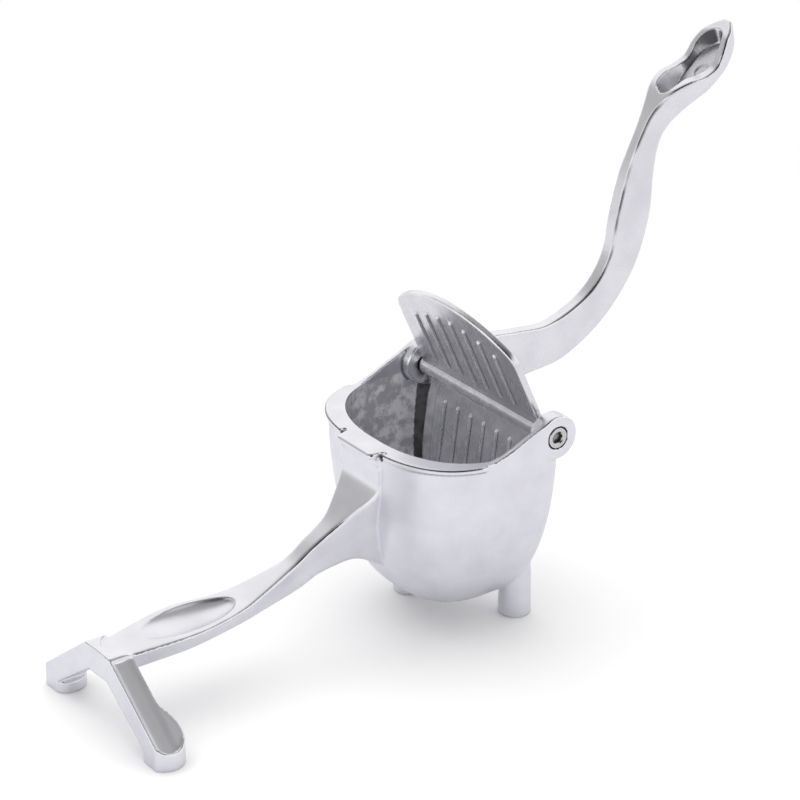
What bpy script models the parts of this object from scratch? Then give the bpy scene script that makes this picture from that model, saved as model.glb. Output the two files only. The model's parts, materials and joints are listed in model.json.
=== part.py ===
"""Hand-lever fruit press in cast aluminium, as five separate pieces.

The body casting is the cup with its stand: two round legs below and a long arm that ends in a
forked foot. The press lever carries the ribbed flap and turns in the cup's two ears, on one
screw at each side. The back plate drops into the cup behind the flap.

Lengths in the constants are millimetres. Every piece is drawn about the hinge axis, which runs
along X: -Y is towards the foot, +Y towards the open lever, and Z is measured up from the axis.
"""

import math

import bmesh
import bpy
from mathutils import Matrix, Vector

MM = 0.001

# Cup: a D-shaped bowl, round at the front and flat at the back.
CUP_HALF_WIDTH = 45.6
CUP_FRONT = 60.7
CUP_REAR = 6.0
CUP_CORNER = 12.0
CUP_DEPTH = 75.9
CUP_MIDDLE = 19.6
CUP_ROUNDNESS = 2.5
BOWL_FULLNESS = 1.83
BOWL_BLUNTNESS = 0.29
BOWL_SWELL = 0.048
BOWL_CLEARANCE = 10.6
SIDE_WALL = 2.6
FRONT_WALL = 7.3
REAR_WALL = 2.8
FLOOR_WALL = 3.0
CAVITY_CORNER = 8.0
CAVITY_ROUNDNESS = 2.3
HINGE_HEIGHT = CUP_DEPTH + BOWL_CLEARANCE
CAVITY_DEPTH = CUP_DEPTH - FLOOR_WALL

# Rim: a flange round the front, a pouring lip and the webs that rise to the ears.
RIM_DROP = 2.5
REAR_DROP = 4.7
FLANGE_HEIGHT = 2.1
FLANGE_OVERHANG = 1.4
FLANGE_START = 33.0
FLANGE_ROUNDNESS = 2.7
LIP_HALF_WIDTH = 11.8
LIP_REACH = 3.5
LIP_CORNER = 2.0
WEB_LENGTH = 21.0
# Web: shares of its length in front of the ear, and of the ear's radius above the axis.
WEB_RISE = ((0.52, 0.11), (0.28, 0.36), (0.0, 0.62))

# Hinge: ears, barrel and the screws that hold it.
EAR_DIAMETER = 18.0
EAR_THICKNESS = 7.0
EAR_PROUD = 0.4
BARREL_DIAMETER = 8.0
BARREL_GAP = 0.5
SCREW_SHANK = 5.0
SCREW_HEAD = 8.5
SCREW_HEAD_HEIGHT = 4.8
SCREW_LENGTH = 12.0
SOCKET_ACROSS_FLATS = 4.2
SOCKET_DEPTH = 2.6
FIT_GAP = 0.3
EAR_OUTER = CUP_HALF_WIDTH + EAR_PROUD
EAR_INNER = EAR_OUTER - EAR_THICKNESS
BARREL_HALF = EAR_INNER - BARREL_GAP

# Legs: x, y of each centre. The right one stands at the back corner and leans into the bowl.
LEG_RADIUS = 6.6
LEG_TOP_RADIUS = 6.2
LEG_EDGE = 0.7
RIGHT_LEG = (20.8, -0.2)
RIGHT_LEG_LEAN = 9.0
RIGHT_LEG_HEIGHT = 0.46 * HINGE_HEIGHT
LEFT_LEG = (-18.8, -23.0)
LEFT_LEG_HEIGHT = 0.3 * HINGE_HEIGHT

# Arm: how far in front of the cup the foot's face stands, and the arm's waist.
ARM_LENGTH = 119.9
ARM_EDGE = 1.2
THUMB_LENGTH = 43.0
THUMB_HALF_WIDTH = 9.0
THUMB_DEPTH = 3.0
THUMB_HEIGHT = 33.7
THUMB_FROM_FOOT = 38.1
FOOT_FRONT = CUP_FRONT + ARM_LENGTH

# Forked foot: two prongs that slope down to round pads.
CROWN_HEIGHT = 33.0
CROWN_HALF_WIDTH = 8.5
PRONG_SLOPE = 0.76
PRONG_THICKNESS = 10.1
CROTCH_HEIGHT = 22.3
CROTCH_HALF_WIDTH = 6.5
PAD_RADIUS = 7.75
PAD_HEIGHT = 4.0
PAD_SPREAD = 35.0
PAD_SETBACK = 6.6

# Press flap: leans forward over the cup when the lever stands open.
FLAP_LEAN = 66.0
FLAP_LENGTH = 50.5
FLAP_THICKNESS = 3.0
FLAP_FACE = 1.4
FLAP_SIDE_GAP = 0.8
FLAP_TIP_RADIUS = 58.0
FLAP_CORNER = 9.0
FLAP_HALF_WIDTH = BARREL_HALF - FLAP_SIDE_GAP

# Ribs on the flap and the back plate.
RIB_COUNT = 7
RIB_SPACING = 8.4
RIB_RADIUS = 0.8
RIB_START = 12.0
RIB_TIP_MARGIN = 9.5

# Back plate: leans forward from the top, with margins stepped back at its sides.
PLATE_LEAN = 8.0
PLATE_SETBACK = 1.0
PLATE_THICKNESS = 2.5
PLATE_STEP = 0.7
PLATE_MARGIN = 6.0
PLATE_FLOOR_ROOM = 8.9
PLATE_LENGTH = CAVITY_DEPTH - PLATE_FLOOR_ROOM
PLATE_HALF_WIDTH = FLAP_HALF_WIDTH
PLATE_RIB_END = PLATE_LENGTH - 2 * PLATE_MARGIN

# Lever: its heel's gap over the cup's rear wall, its edges and its bar. The bar's stations hold
# the inner edge's y, z; the outer edge's y, z; half its thickness at the inner and outer edge.
LEVER_HEEL = 0.3
HEEL_HALF_WIDTH = 3.2
LEVER_EDGE = 1.1
LEVER_BACK_EDGE = 2.0
LEVER_STATIONS = (
    (-10.0, 27.0, -1.0, 1.0, 2.8, 3.0),
    (3.0, 26.6, 9.0, 2.6, 2.8, 3.2),
    (14.0, 25.2, 18.0, 5.2, 2.8, 3.4),
    (31.0, 24.4, 37.0, 7.8, 2.9, 3.5),
    (49.0, 32.4, 57.0, 19.4, 3.1, 3.5),
    (59.0, 45.3, 72.0, 37.4, 3.1, 3.5),
    (62.5, 61.9, 79.3, 58.0, 3.1, 3.5),
    (67.5, 79.6, 80.8, 76.5, 3.0, 3.5),
    (74.1, 93.8, 83.2, 89.0, 2.7, 3.7),
    (79.0, 102.9, 88.2, 95.4, 3.8, 3.8),
    (85.0, 110.0, 95.5, 99.8, 7.3, 3.8),
    (92.0, 113.4, 102.0, 102.6, 9.6, 3.8),
    (99.5, 114.6, 107.5, 105.0, 10.6, 3.8),
    (105.0, 117.2, 112.5, 108.6, 10.4, 3.8),
    (108.4, 122.4, 116.6, 112.6, 9.7, 3.8),
    (111.6, 126.6, 119.4, 117.4, 8.2, 3.6),
    (115.2, 129.2, 120.69, 122.0, 6.0, 3.2),
    (118.6, 131.5, 120.2, 127.4, 2.4, 2.2),
)

# Arm: top edge reach in front of the cup, top height, half width; then the bottom edge.
ARM_STATIONS = (
    (-12.0, 80.0, 14.0, -18.0, 26.0, 5.0),
    (-0.6, 79.0, 13.4, -10.0, 28.7, 4.8),
    (0.2, 68.0, 12.6, -2.7, 33.0, 4.5),
    (7.3, 60.3, 8.3, 3.3, 35.9, 4.0),
    (14.3, 54.3, 5.2, 9.3, 36.6, 3.8),
    (24.3, 48.5, 4.3, 21.8, 34.9, 3.6),
    (34.3, 42.4, 4.3, 31.3, 31.3, 3.6),
    (49.3, 37.3, 7.0, 47.3, 27.5, 3.8),
    (61.3, 34.6, 9.3, 59.3, 24.9, 4.0),
    (81.3, 33.8, 12.7, 79.3, 22.1, 4.0),
    (99.3, 33.0, 10.7, 97.3, 21.8, 4.0),
    (111.0, 32.4, 8.5, 111.0, 21.8, 4.0),
)

SIDE_VIEW = Matrix(((0, 0, 1, 0), (1, 0, 0, 0), (0, 1, 0, 0), (0, 0, 0, 1)))
FRONT_VIEW = Matrix(((1, 0, 0, 0), (0, 0, -1, 0), (0, 1, 0, 0), (0, 0, 0, 1)))
ALONG_X = Matrix.Rotation(math.radians(90.0), 4, "Y")


def clear_scene():
    """Remove every object of the opened file."""
    for item in list(bpy.data.objects):
        bpy.data.objects.remove(item, do_unlink=True)


def metal(name, colour, roughness):
    """Principled metal with one colour (linear RGB) and roughness."""
    material = bpy.data.materials.new(name)
    material.use_nodes = True
    shader = material.node_tree.nodes["Principled BSDF"]
    shader.inputs["Base Color"].default_value = (*colour, 1.0)
    shader.inputs["Metallic"].default_value = 1.0
    shader.inputs["Roughness"].default_value = roughness
    return material


def make_object(name, bm):
    """Turn a bmesh drawn in millimetres about the hinge into a placed object in metres."""
    bmesh.ops.recalc_face_normals(bm, faces=bm.faces)
    bmesh.ops.scale(bm, vec=(MM, MM, MM), verts=bm.verts)
    mesh = bpy.data.meshes.new(name)
    bm.to_mesh(mesh)
    bm.free()
    mesh.shade_smooth()
    mesh.set_sharp_from_angle(angle=math.radians(35.0))
    item = bpy.data.objects.new(name, mesh)
    item.location = hinge_point()
    bpy.context.collection.objects.link(item)
    return item


def smooth(stations, steps):
    """Stations on a smooth curve through the given ones, with steps to each stretch."""
    padded = (stations[0], *stations, stations[-1])
    result = []
    for before, here, after, beyond in zip(padded, padded[1:], padded[2:], padded[3:]):
        for step in range(steps):
            t = step / steps
            result.append(tuple(
                0.5 * (2 * q + (r - p) * t + (2 * p - 5 * q + 4 * r - s) * t ** 2
                       + (3 * q - p - 3 * r + s) * t ** 3)
                for p, q, r, s in zip(before, here, after, beyond)
            ))
    result.append(stations[-1])
    return result


def arc(centre, radius, start, end, steps):
    """Points of an arc in a plane, from one angle to the other in degrees."""
    angles = [math.radians(start + (end - start) * k / steps) for k in range(steps + 1)]
    return [(centre[0] + radius * math.cos(a), centre[1] + radius * math.sin(a)) for a in angles]


def mirrored(half):
    """Close a half outline that runs from the middle line round +X back to the middle line."""
    other = [(-x, y) for x, y in reversed(half) if x > 1e-6]
    return list(half) + other


def loft(name, rings):
    """Closed body through a row of rings with the same number of points."""
    bm = bmesh.new()
    loops = []
    for ring in rings:
        verts = [bm.verts.new(point) for point in ring]
        loops.append([bm.edges.new((a, b)) for a, b in zip(verts, verts[1:] + verts[:1])])
        if ring is rings[0] or ring is rings[-1]:
            bm.faces.new(verts)
    for first, second in zip(loops, loops[1:]):
        bmesh.ops.bridge_loops(bm, edges=first + second)
    return make_object(name, bm)


def slab(name, outline, low, high, view=None):
    """Extrude a flat outline from one level to another, seen in the given view."""
    bm = bmesh.new()
    face = bm.faces.new([bm.verts.new((u, v, low)) for u, v in outline])
    grown = bmesh.ops.extrude_face_region(bm, geom=[face])
    top = [item for item in grown["geom"] if isinstance(item, bmesh.types.BMVert)]
    bmesh.ops.translate(bm, vec=(0.0, 0.0, high - low), verts=top)
    if view is not None:
        bmesh.ops.transform(bm, matrix=view, verts=bm.verts)
    return make_object(name, bm)


def rod(name, radius, start, end, centre=(0.0, 0.0), sides=32, view=None):
    """Round bar along Z from start to end, or along another axis through the given view."""
    bm = bmesh.new()
    place = Matrix.Translation((centre[0], centre[1], 0.5 * (start + end)))
    bmesh.ops.create_cone(bm, cap_ends=True, segments=sides, radius1=radius, radius2=radius,
                          depth=abs(end - start), matrix=place)
    if view is not None:
        bmesh.ops.transform(bm, matrix=view, verts=bm.verts)
    return make_object(name, bm)


def combine(target, tool, operation):
    """Join a tool to the target or cut it away, and keep the tool as a hidden guide."""
    modifier = target.modifiers.new(f"{operation.lower()} {tool.name}", "BOOLEAN")
    modifier.operation = operation
    modifier.solver = "EXACT"
    modifier.object = tool
    tool.hide_render = True
    tool.display_type = "WIRE"


def bowl_scale(share):
    """Size of the bowl's outline at a share of its depth, as a share of its size at the rim."""
    depth = max(0.0, share)
    inside = max(0.0, 1.0 - depth ** BOWL_FULLNESS)
    return inside ** BOWL_BLUNTNESS * (1.0 + BOWL_SWELL * depth)


def d_half(half_width, front, rear, corner, roundness, steps=9):
    """Half of a D-shaped outline: flat rear, round corner, straight side, round front."""
    half = [(0.0, rear)]
    half += arc((half_width - corner, rear - corner), corner, 90.0, 0.0, 5)
    reach = front - CUP_MIDDLE
    for step in range(steps + 1):
        turn = math.radians(90.0 * step / steps)
        across = half_width * math.cos(turn) ** (2.0 / roundness)
        along = reach * math.sin(turn) ** (2.0 / roundness)
        half.append((across if step < steps else 0.0, -CUP_MIDDLE - along))
    return half


def bowl(name, outline, depth, top):
    """Bowl body: the outline carried straight down from the top, then drawn in to the floor."""
    shares = (0.0, 0.12, 0.25, 0.38, 0.5, 0.62, 0.73, 0.82, 0.89, 0.94, 0.97, 0.99, 0.999)
    rings = [[(x, y, top) for x, y in outline]]
    for share in shares:
        size = bowl_scale(share)
        rings.append([
            (x * size, -CUP_MIDDLE + (y + CUP_MIDDLE) * size, -share * depth) for x, y in outline
        ])
    return loft(name, rings)


def cavity_half_width(depth, y):
    """Half width of the cavity at a depth below the hinge, along the line at y."""
    size = bowl_scale(depth / CAVITY_DEPTH)
    if size <= 0.0:
        return 0.0
    plan_y = -CUP_MIDDLE + (y + CUP_MIDDLE) / size
    rear = CUP_REAR - REAR_WALL
    if plan_y >= rear:
        return 0.0
    half = CUP_HALF_WIDTH - SIDE_WALL
    into_corner = plan_y - (rear - CAVITY_CORNER)
    if into_corner > 0.0:
        half += math.sqrt(CAVITY_CORNER ** 2 - into_corner ** 2) - CAVITY_CORNER
    return half * size


def hinge_point():
    """World place of the hinge axis, with the whole press centred over the origin."""
    furthest = max(station[2] for station in smooth(LEVER_STATIONS, 4))
    return (0.0, 0.5 * (FOOT_FRONT - furthest) * MM, HINGE_HEIGHT * MM)


def lever_ring(station):
    """Cross-section of the lever bar with rounded edges, in the plane across the bar."""
    inner_y, inner_z, outer_y, outer_z, inner_half, outer_half = station
    inner = Vector((0.0, inner_y, inner_z))
    outer = Vector((0.0, outer_y, outer_z))
    across = (outer - inner).normalized()
    side = Vector((1.0, 0.0, 0.0))
    edge, back = LEVER_EDGE, LEVER_BACK_EDGE
    half = [
        inner + side * (inner_half - edge),
        inner + side * (inner_half - 0.3 * edge) + across * 0.3 * edge,
        inner + side * inner_half + across * edge,
        outer + side * outer_half - across * back,
        outer + side * (outer_half - 0.3 * back) - across * 0.3 * back,
        outer + side * (outer_half - back),
    ]
    other = [Vector((-p.x, p.y, p.z)) for p in reversed(half)]
    return half + other


def arm_ring(station):
    """Cross-section of the arm: wide crowned top, sides drawn in to a narrow bottom edge."""
    top_reach, top_height, top_half, bottom_reach, bottom_height, bottom_half = station
    top = Vector((0.0, -CUP_FRONT - top_reach, top_height - HINGE_HEIGHT))
    bottom = Vector((0.0, -CUP_FRONT - bottom_reach, bottom_height - HINGE_HEIGHT))
    down = (bottom - top).normalized()
    side = Vector((1.0, 0.0, 0.0))
    half = [
        top + side * (top_half - ARM_EDGE) + down * 0.15,
        top + side * (top_half - 0.3 * ARM_EDGE) + down * 0.4 * ARM_EDGE,
        top + side * top_half + down * ARM_EDGE,
        bottom + side * bottom_half - down * ARM_EDGE,
        bottom + side * (bottom_half - 0.3 * ARM_EDGE) - down * 0.3 * ARM_EDGE,
        bottom + side * (bottom_half - ARM_EDGE),
    ]
    other = [Vector((-p.x, p.y, p.z)) for p in reversed(half)]
    return half + other + [top]


def leg(name, centre, lean, height):
    """Round leg with a rounded foot, whose top narrows and leans towards the bowl's middle."""
    ground = -HINGE_HEIGHT
    levels = [
        (0.0, LEG_RADIUS - LEG_EDGE, 0.0),
        (0.3 * LEG_EDGE, LEG_RADIUS - 0.3 * LEG_EDGE, 0.0),
        (LEG_EDGE, LEG_RADIUS, 0.0),
        (0.55 * height, LEG_TOP_RADIUS, 0.0),
        (0.75 * height, 0.93 * LEG_TOP_RADIUS, 0.3 * lean),
        (0.9 * height, 0.75 * LEG_TOP_RADIUS, 0.65 * lean),
        (height, 0.45 * LEG_TOP_RADIUS, lean),
    ]
    rings = []
    for level, radius, shift in levels:
        circle = arc((centre[0], centre[1] - shift), radius, 0.0, 345.0, 23)
        rings.append([(x, y, ground + level) for x, y in circle])
    return loft(name, rings)


def rim_cutter():
    """Everything above the rim: level round the front, rising to the ears, low at the back."""
    ear = 0.5 * EAR_DIAMETER
    rise = [(-ear - WEB_LENGTH, -RIM_DROP), (-ear - 0.76 * WEB_LENGTH, -0.4 * RIM_DROP)]
    rise += [(-ear - along * WEB_LENGTH, up * ear) for along, up in WEB_RISE]
    rise += [(-0.5 * ear, 0.866 * ear), (-0.2 * ear, 0.95 * ear)]
    beyond = CUP_FRONT + 4 * LIP_REACH
    outline = [(-beyond, -RIM_DROP)] + rise
    outline += [(-0.2 * ear, -REAR_DROP), (beyond, -REAR_DROP)]
    outline += [(beyond, 4 * ear), (-beyond, 4 * ear)]
    return slab("rim cutter", outline, -2 * CUP_HALF_WIDTH, 2 * CUP_HALF_WIDTH, SIDE_VIEW)


def flange(top):
    """Flange round the front of the rim, with the pouring lip in its middle."""
    half_width = CUP_HALF_WIDTH + FLANGE_OVERHANG
    outer = d_half(half_width, CUP_FRONT, CUP_REAR, CUP_CORNER, FLANGE_ROUNDNESS, steps=14)
    front = [(x, y) for x, y in outer if y < -FLANGE_START]
    share = (FLANGE_START - CUP_MIDDLE) / (CUP_FRONT - CUP_MIDDLE)
    across = half_width * (1.0 - share ** FLANGE_ROUNDNESS) ** (1.0 / FLANGE_ROUNDNESS)
    outline = mirrored([(0.0, -FLANGE_START), (across, -FLANGE_START)] + front)
    low = -RIM_DROP - FLANGE_HEIGHT
    ring = slab("flange", outline, low, top)
    lip_front = -CUP_FRONT - LIP_REACH
    corner = arc((LIP_HALF_WIDTH - LIP_CORNER, lip_front + LIP_CORNER), LIP_CORNER, 0.0, -90.0, 4)
    lip_half = [(0.0, -CUP_MIDDLE), (LIP_HALF_WIDTH, -CUP_MIDDLE)] + corner + [(0.0, lip_front)]
    lip = slab("lip", mirrored(lip_half), low, top)
    return ring, lip


def forked_foot():
    """Foot: its front outline crossed with its plan, so that the prong ends are round."""
    def top_height(x):
        return CROWN_HEIGHT - max(0.0, x - CROWN_HALF_WIDTH) * PRONG_SLOPE

    ground = -HINGE_HEIGHT
    end = PAD_SPREAD + PAD_RADIUS + 1.0
    prong_low = PAD_SPREAD - 0.35 * PAD_RADIUS
    half = [
        (0.0, CROWN_HEIGHT),
        (CROWN_HALF_WIDTH, CROWN_HEIGHT),
        (end, top_height(end)),
        (end, PAD_HEIGHT),
        (prong_low, PAD_HEIGHT),
        (CROTCH_HALF_WIDTH, CROTCH_HEIGHT),
        (0.0, CROTCH_HEIGHT),
    ]
    outline = mirrored([(x, ground + z) for x, z in half])
    foot = slab("foot front outline", outline, FOOT_FRONT - 40.0, FOOT_FRONT + 5.0, FRONT_VIEW)

    pad_y = -FOOT_FRONT + PAD_SETBACK
    turn = math.degrees(math.asin(PAD_SETBACK / PAD_RADIUS))
    rear = -FOOT_FRONT + PRONG_THICKNESS
    plan = [(0.0, -FOOT_FRONT)]
    plan += arc((PAD_SPREAD, pad_y), PAD_RADIUS, -turn, 115.0, 14)
    plan += [(PAD_SPREAD - 0.85 * PAD_RADIUS, rear + 2.0), (PAD_SPREAD - 1.3 * PAD_RADIUS, rear)]
    plan += [(0.0, rear)]
    crossing = slab("foot plan", mirrored(plan), ground - 5.0, ground + 2 * CROWN_HEIGHT)
    combine(foot, crossing, "INTERSECT")

    for side in (-1, 1):
        pad_plan = [(side * x, y) for x, y in
                    arc((PAD_SPREAD, pad_y), PAD_RADIUS, -turn, 180.0 + turn, 22)]
        pad = slab(f"pad {side}", pad_plan, ground, ground + PAD_HEIGHT + 1.0)
        combine(foot, pad, "UNION")
    return foot


def thumb_recess():
    """Lens-shaped hollow in the top of the arm."""
    bm = bmesh.new()
    bmesh.ops.create_uvsphere(bm, u_segments=28, v_segments=14, radius=1.0)
    proud = 1.0
    depth = THUMB_DEPTH + proud
    spread = 1.0 / math.sqrt(1.0 - (proud / depth) ** 2)
    size = (THUMB_HALF_WIDTH * spread, 0.5 * THUMB_LENGTH * spread, depth)
    bmesh.ops.scale(bm, vec=size, verts=bm.verts)
    height = THUMB_HEIGHT + proud - HINGE_HEIGHT
    bmesh.ops.translate(bm, vec=(0.0, -FOOT_FRONT + THUMB_FROM_FOOT, height), verts=bm.verts)
    return make_object("thumb recess", bm)


def body_casting(material):
    """Cup, ears, legs, arm and forked foot: one casting."""
    top = EAR_DIAMETER
    outside = mirrored(d_half(CUP_HALF_WIDTH, CUP_FRONT, CUP_REAR, CUP_CORNER, CUP_ROUNDNESS))
    inside = mirrored(d_half(CUP_HALF_WIDTH - SIDE_WALL, CUP_FRONT - FRONT_WALL,
                             CUP_REAR - REAR_WALL, CAVITY_CORNER, CAVITY_ROUNDNESS))
    casting = bowl("body_casting", outside, CUP_DEPTH, top)
    casting.data.materials.append(material)
    for piece in flange(top - 1.0):
        combine(casting, piece, "UNION")
    combine(casting, rim_cutter(), "DIFFERENCE")
    arm = loft("arm", [arm_ring(station) for station in smooth(ARM_STATIONS, 3)])
    combine(casting, arm, "UNION")
    combine(casting, forked_foot(), "UNION")
    combine(casting, leg("right leg", RIGHT_LEG, RIGHT_LEG_LEAN, RIGHT_LEG_HEIGHT), "UNION")
    combine(casting, leg("left leg", LEFT_LEG, 0.0, LEFT_LEG_HEIGHT), "UNION")
    combine(casting, bowl("cavity", inside, CAVITY_DEPTH, top + 1.0), "DIFFERENCE")
    combine(casting, thumb_recess(), "DIFFERENCE")
    for side in (-1, 1):
        ear = rod(f"ear {side}", 0.5 * EAR_DIAMETER, side * EAR_INNER, side * EAR_OUTER,
                  sides=40, view=ALONG_X)
        combine(casting, ear, "UNION")
        seat = side * (EAR_OUTER - SCREW_HEAD_HEIGHT - FIT_GAP)
        counterbore = rod(f"counterbore {side}", 0.5 * SCREW_HEAD + FIT_GAP, seat,
                          side * (EAR_OUTER + 5.0), view=ALONG_X)
        combine(casting, counterbore, "DIFFERENCE")
        bore = rod(f"bore {side}", 0.5 * SCREW_SHANK + FIT_GAP, side * (EAR_INNER - 5.0),
                   side * (EAR_OUTER + 5.0), view=ALONG_X)
        combine(casting, bore, "DIFFERENCE")
    return casting


def ribs(target, starts_and_ends, view):
    """Raised round beads on a face, side by side and level with it at their middles."""
    middle = 0.5 * (len(starts_and_ends) - 1)
    for index, (start, end) in enumerate(starts_and_ends):
        x = (index - middle) * RIB_SPACING
        lying = Matrix.Translation((x, 0.0, 0.0)) @ Matrix.Rotation(math.radians(-90.0), 4, "X")
        bar = rod(f"{target.name} rib {index}", RIB_RADIUS, start, end, sides=8,
                  view=view @ lying)
        combine(target, bar, "UNION")


def flap_outline():
    """Half outline of the flap: straight sides, rounded corners and a shallow round tip."""
    tip_centre = FLAP_LENGTH - FLAP_TIP_RADIUS
    corner_x = FLAP_HALF_WIDTH - FLAP_CORNER
    reach = FLAP_TIP_RADIUS - FLAP_CORNER
    corner_r = tip_centre + math.sqrt(reach ** 2 - corner_x ** 2)
    meet = math.degrees(math.atan2(corner_r - tip_centre, corner_x))
    half = [(0.0, 0.0), (FLAP_HALF_WIDTH, 0.0)]
    half += arc((corner_x, corner_r), FLAP_CORNER, 0.0, meet, 6)
    half += arc((0.0, tip_centre), FLAP_TIP_RADIUS, meet, 90.0, 8)[1:-1]
    half.append((0.0, FLAP_LENGTH))
    return mirrored(half)


def press_lever(material):
    """Lever bar, barrel and ribbed flap: one casting, turning about the hinge."""
    lever = rod("press_lever", 0.5 * BARREL_DIAMETER, -BARREL_HALF, BARREL_HALF, sides=28,
                view=ALONG_X)
    lever.data.materials.append(material)
    lean = math.radians(FLAP_LEAN)
    along = Vector((0.0, -math.cos(lean), math.sin(lean)))
    out = Vector((0.0, -math.sin(lean), -math.cos(lean)))
    view = Matrix.Translation(out * FLAP_FACE) @ Matrix((
        (1.0, 0.0, 0.0, 0.0), (0.0, along.y, out.y, 0.0), (0.0, along.z, out.z, 0.0),
        (0.0, 0.0, 0.0, 1.0)))
    flap = slab("flap", flap_outline(), -FLAP_THICKNESS, 0.0, view)
    combine(lever, flap, "UNION")
    middle = 0.5 * (RIB_COUNT - 1)
    tips = []
    for index in range(RIB_COUNT):
        x = (index - middle) * RIB_SPACING
        edge = math.sqrt(FLAP_TIP_RADIUS ** 2 - x ** 2) + FLAP_LENGTH - FLAP_TIP_RADIUS
        tips.append((RIB_START, edge - RIB_TIP_MARGIN))
    ribs(lever, tips, view)
    bar = loft("lever bar", [lever_ring(station) for station in smooth(LEVER_STATIONS, 4)])
    combine(lever, bar, "UNION")
    heel_low = -REAR_DROP + LEVER_HEEL
    heel = slab("heel", [(-1.0, 0.0), (1.0, heel_low), (7.0, heel_low), (10.0, 2.0), (4.0, 12.0)],
                -HEEL_HALF_WIDTH, HEEL_HALF_WIDTH, SIDE_VIEW)
    combine(lever, heel, "UNION")
    for side in (-1, 1):
        bore = rod(f"thread bore {side}", 0.5 * SCREW_SHANK + FIT_GAP,
                   side * (EAR_OUTER - SCREW_HEAD_HEIGHT - SCREW_LENGTH - FIT_GAP),
                   side * (BARREL_HALF + 5.0), view=ALONG_X)
        combine(lever, bore, "DIFFERENCE")
    return lever


def plate_half(margin, length):
    """Half outline of the plate, narrowed towards the bottom where the bowl draws in."""
    lean = math.radians(PLATE_LEAN)
    start = (REAR_DROP + LEVER_HEEL) / math.cos(lean)
    half = [(0.0, start)]
    steps = 12
    for step in range(steps + 1):
        reach = start + (length - start) * math.sin(math.radians(90.0 * step / steps))
        depth = reach * math.cos(lean)
        front = PLATE_SETBACK - reach * math.sin(lean)
        back = front + PLATE_THICKNESS + FIT_GAP
        room = min(cavity_half_width(depth, front), cavity_half_width(depth, back),
                   cavity_half_width(depth + PLATE_THICKNESS, back)) - 2 * FIT_GAP
        half.append((max(2.0, min(PLATE_HALF_WIDTH, room)) - margin, reach))
    half.append((0.0, length))
    return half


def back_plate(material):
    """Ribbed plate that stands against the cup's rear wall."""
    lean = math.radians(PLATE_LEAN)
    down = Vector((0.0, -math.sin(lean), -math.cos(lean)))
    back = Vector((0.0, math.cos(lean), -math.sin(lean)))
    view = Matrix.Translation((0.0, PLATE_SETBACK, 0.0)) @ Matrix((
        (1.0, 0.0, 0.0, 0.0), (0.0, down.y, back.y, 0.0), (0.0, down.z, back.z, 0.0),
        (0.0, 0.0, 0.0, 1.0)))
    plate = slab("back_plate", mirrored(plate_half(0.0, PLATE_LENGTH)), PLATE_STEP,
                 PLATE_THICKNESS, view)
    plate.data.materials.append(material)
    panel = slab("plate panel", mirrored(plate_half(PLATE_MARGIN, PLATE_LENGTH - PLATE_MARGIN)),
                 0.0, PLATE_STEP + 0.5, view)
    combine(plate, panel, "UNION")
    ribs(plate, [(RIB_START, PLATE_RIB_END)] * RIB_COUNT, view)
    return plate


def pivot_screw(name, side, material):
    """Socket head cap screw through one ear into the end of the barrel."""
    under_head = side * (EAR_OUTER - SCREW_HEAD_HEIGHT)
    screw = rod(name, 0.5 * SCREW_HEAD, under_head, side * EAR_OUTER, sides=32, view=ALONG_X)
    screw.data.materials.append(material)
    shank = rod(f"{name} shank", 0.5 * SCREW_SHANK, under_head - side * SCREW_LENGTH,
                under_head + side, sides=24, view=ALONG_X)
    combine(screw, shank, "UNION")
    socket = rod(f"{name} socket", SOCKET_ACROSS_FLATS / math.sqrt(3.0),
                 side * (EAR_OUTER - SOCKET_DEPTH), side * (EAR_OUTER + 5.0), sides=6, view=ALONG_X)
    combine(screw, socket, "DIFFERENCE")
    return screw


def main():
    """Build the five pieces."""
    clear_scene()
    cast = metal("cast aluminium", (0.80, 0.80, 0.81), 0.28)
    pressed = metal("plate aluminium", (0.72, 0.72, 0.73), 0.35)
    steel = metal("stainless screw", (0.55, 0.54, 0.52), 0.30)
    body_casting(cast)
    press_lever(cast)
    back_plate(pressed)
    for side, name in ((-1, "pivot_screw_left"), (1, "pivot_screw_right")):
        pivot_screw(name, side, steel)


main()
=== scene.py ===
"""Looks of a hand-lever fruit press in cast aluminium, built around its packed construction.

The cup and its stand, the lever with its flap, the ribbed back plate and the two pivot screws are
each modelled again with a fine skin and dressed in their own metal. Shapes are drawn in
millimetres about the hinge axis: -Y towards the foot, +Y towards the open lever, Z up.
"""

import json
import logging
import math
from dataclasses import dataclass
from enum import Enum
from typing import Iterable, Sequence

import bmesh
import bpy
import numpy as np
from mathutils import Matrix, Vector


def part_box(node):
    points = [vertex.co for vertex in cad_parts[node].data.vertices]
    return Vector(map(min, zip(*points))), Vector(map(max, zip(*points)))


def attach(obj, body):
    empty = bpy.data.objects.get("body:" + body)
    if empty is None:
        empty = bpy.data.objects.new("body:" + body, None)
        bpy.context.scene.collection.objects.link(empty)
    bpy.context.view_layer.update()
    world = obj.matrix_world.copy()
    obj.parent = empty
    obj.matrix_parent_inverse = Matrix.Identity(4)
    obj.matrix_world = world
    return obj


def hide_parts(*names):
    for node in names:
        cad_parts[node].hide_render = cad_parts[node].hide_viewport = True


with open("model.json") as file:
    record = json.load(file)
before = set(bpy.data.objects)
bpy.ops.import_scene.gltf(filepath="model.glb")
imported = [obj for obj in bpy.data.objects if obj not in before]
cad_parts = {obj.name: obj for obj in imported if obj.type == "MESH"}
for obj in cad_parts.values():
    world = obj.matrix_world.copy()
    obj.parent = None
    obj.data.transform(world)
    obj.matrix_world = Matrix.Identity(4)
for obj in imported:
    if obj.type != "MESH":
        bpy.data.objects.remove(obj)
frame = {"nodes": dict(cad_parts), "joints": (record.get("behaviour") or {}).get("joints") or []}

LOG = logging.getLogger("fruit_press")
MM = 0.001
Point2 = tuple[float, float]
Station = tuple[float, ...]


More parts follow.
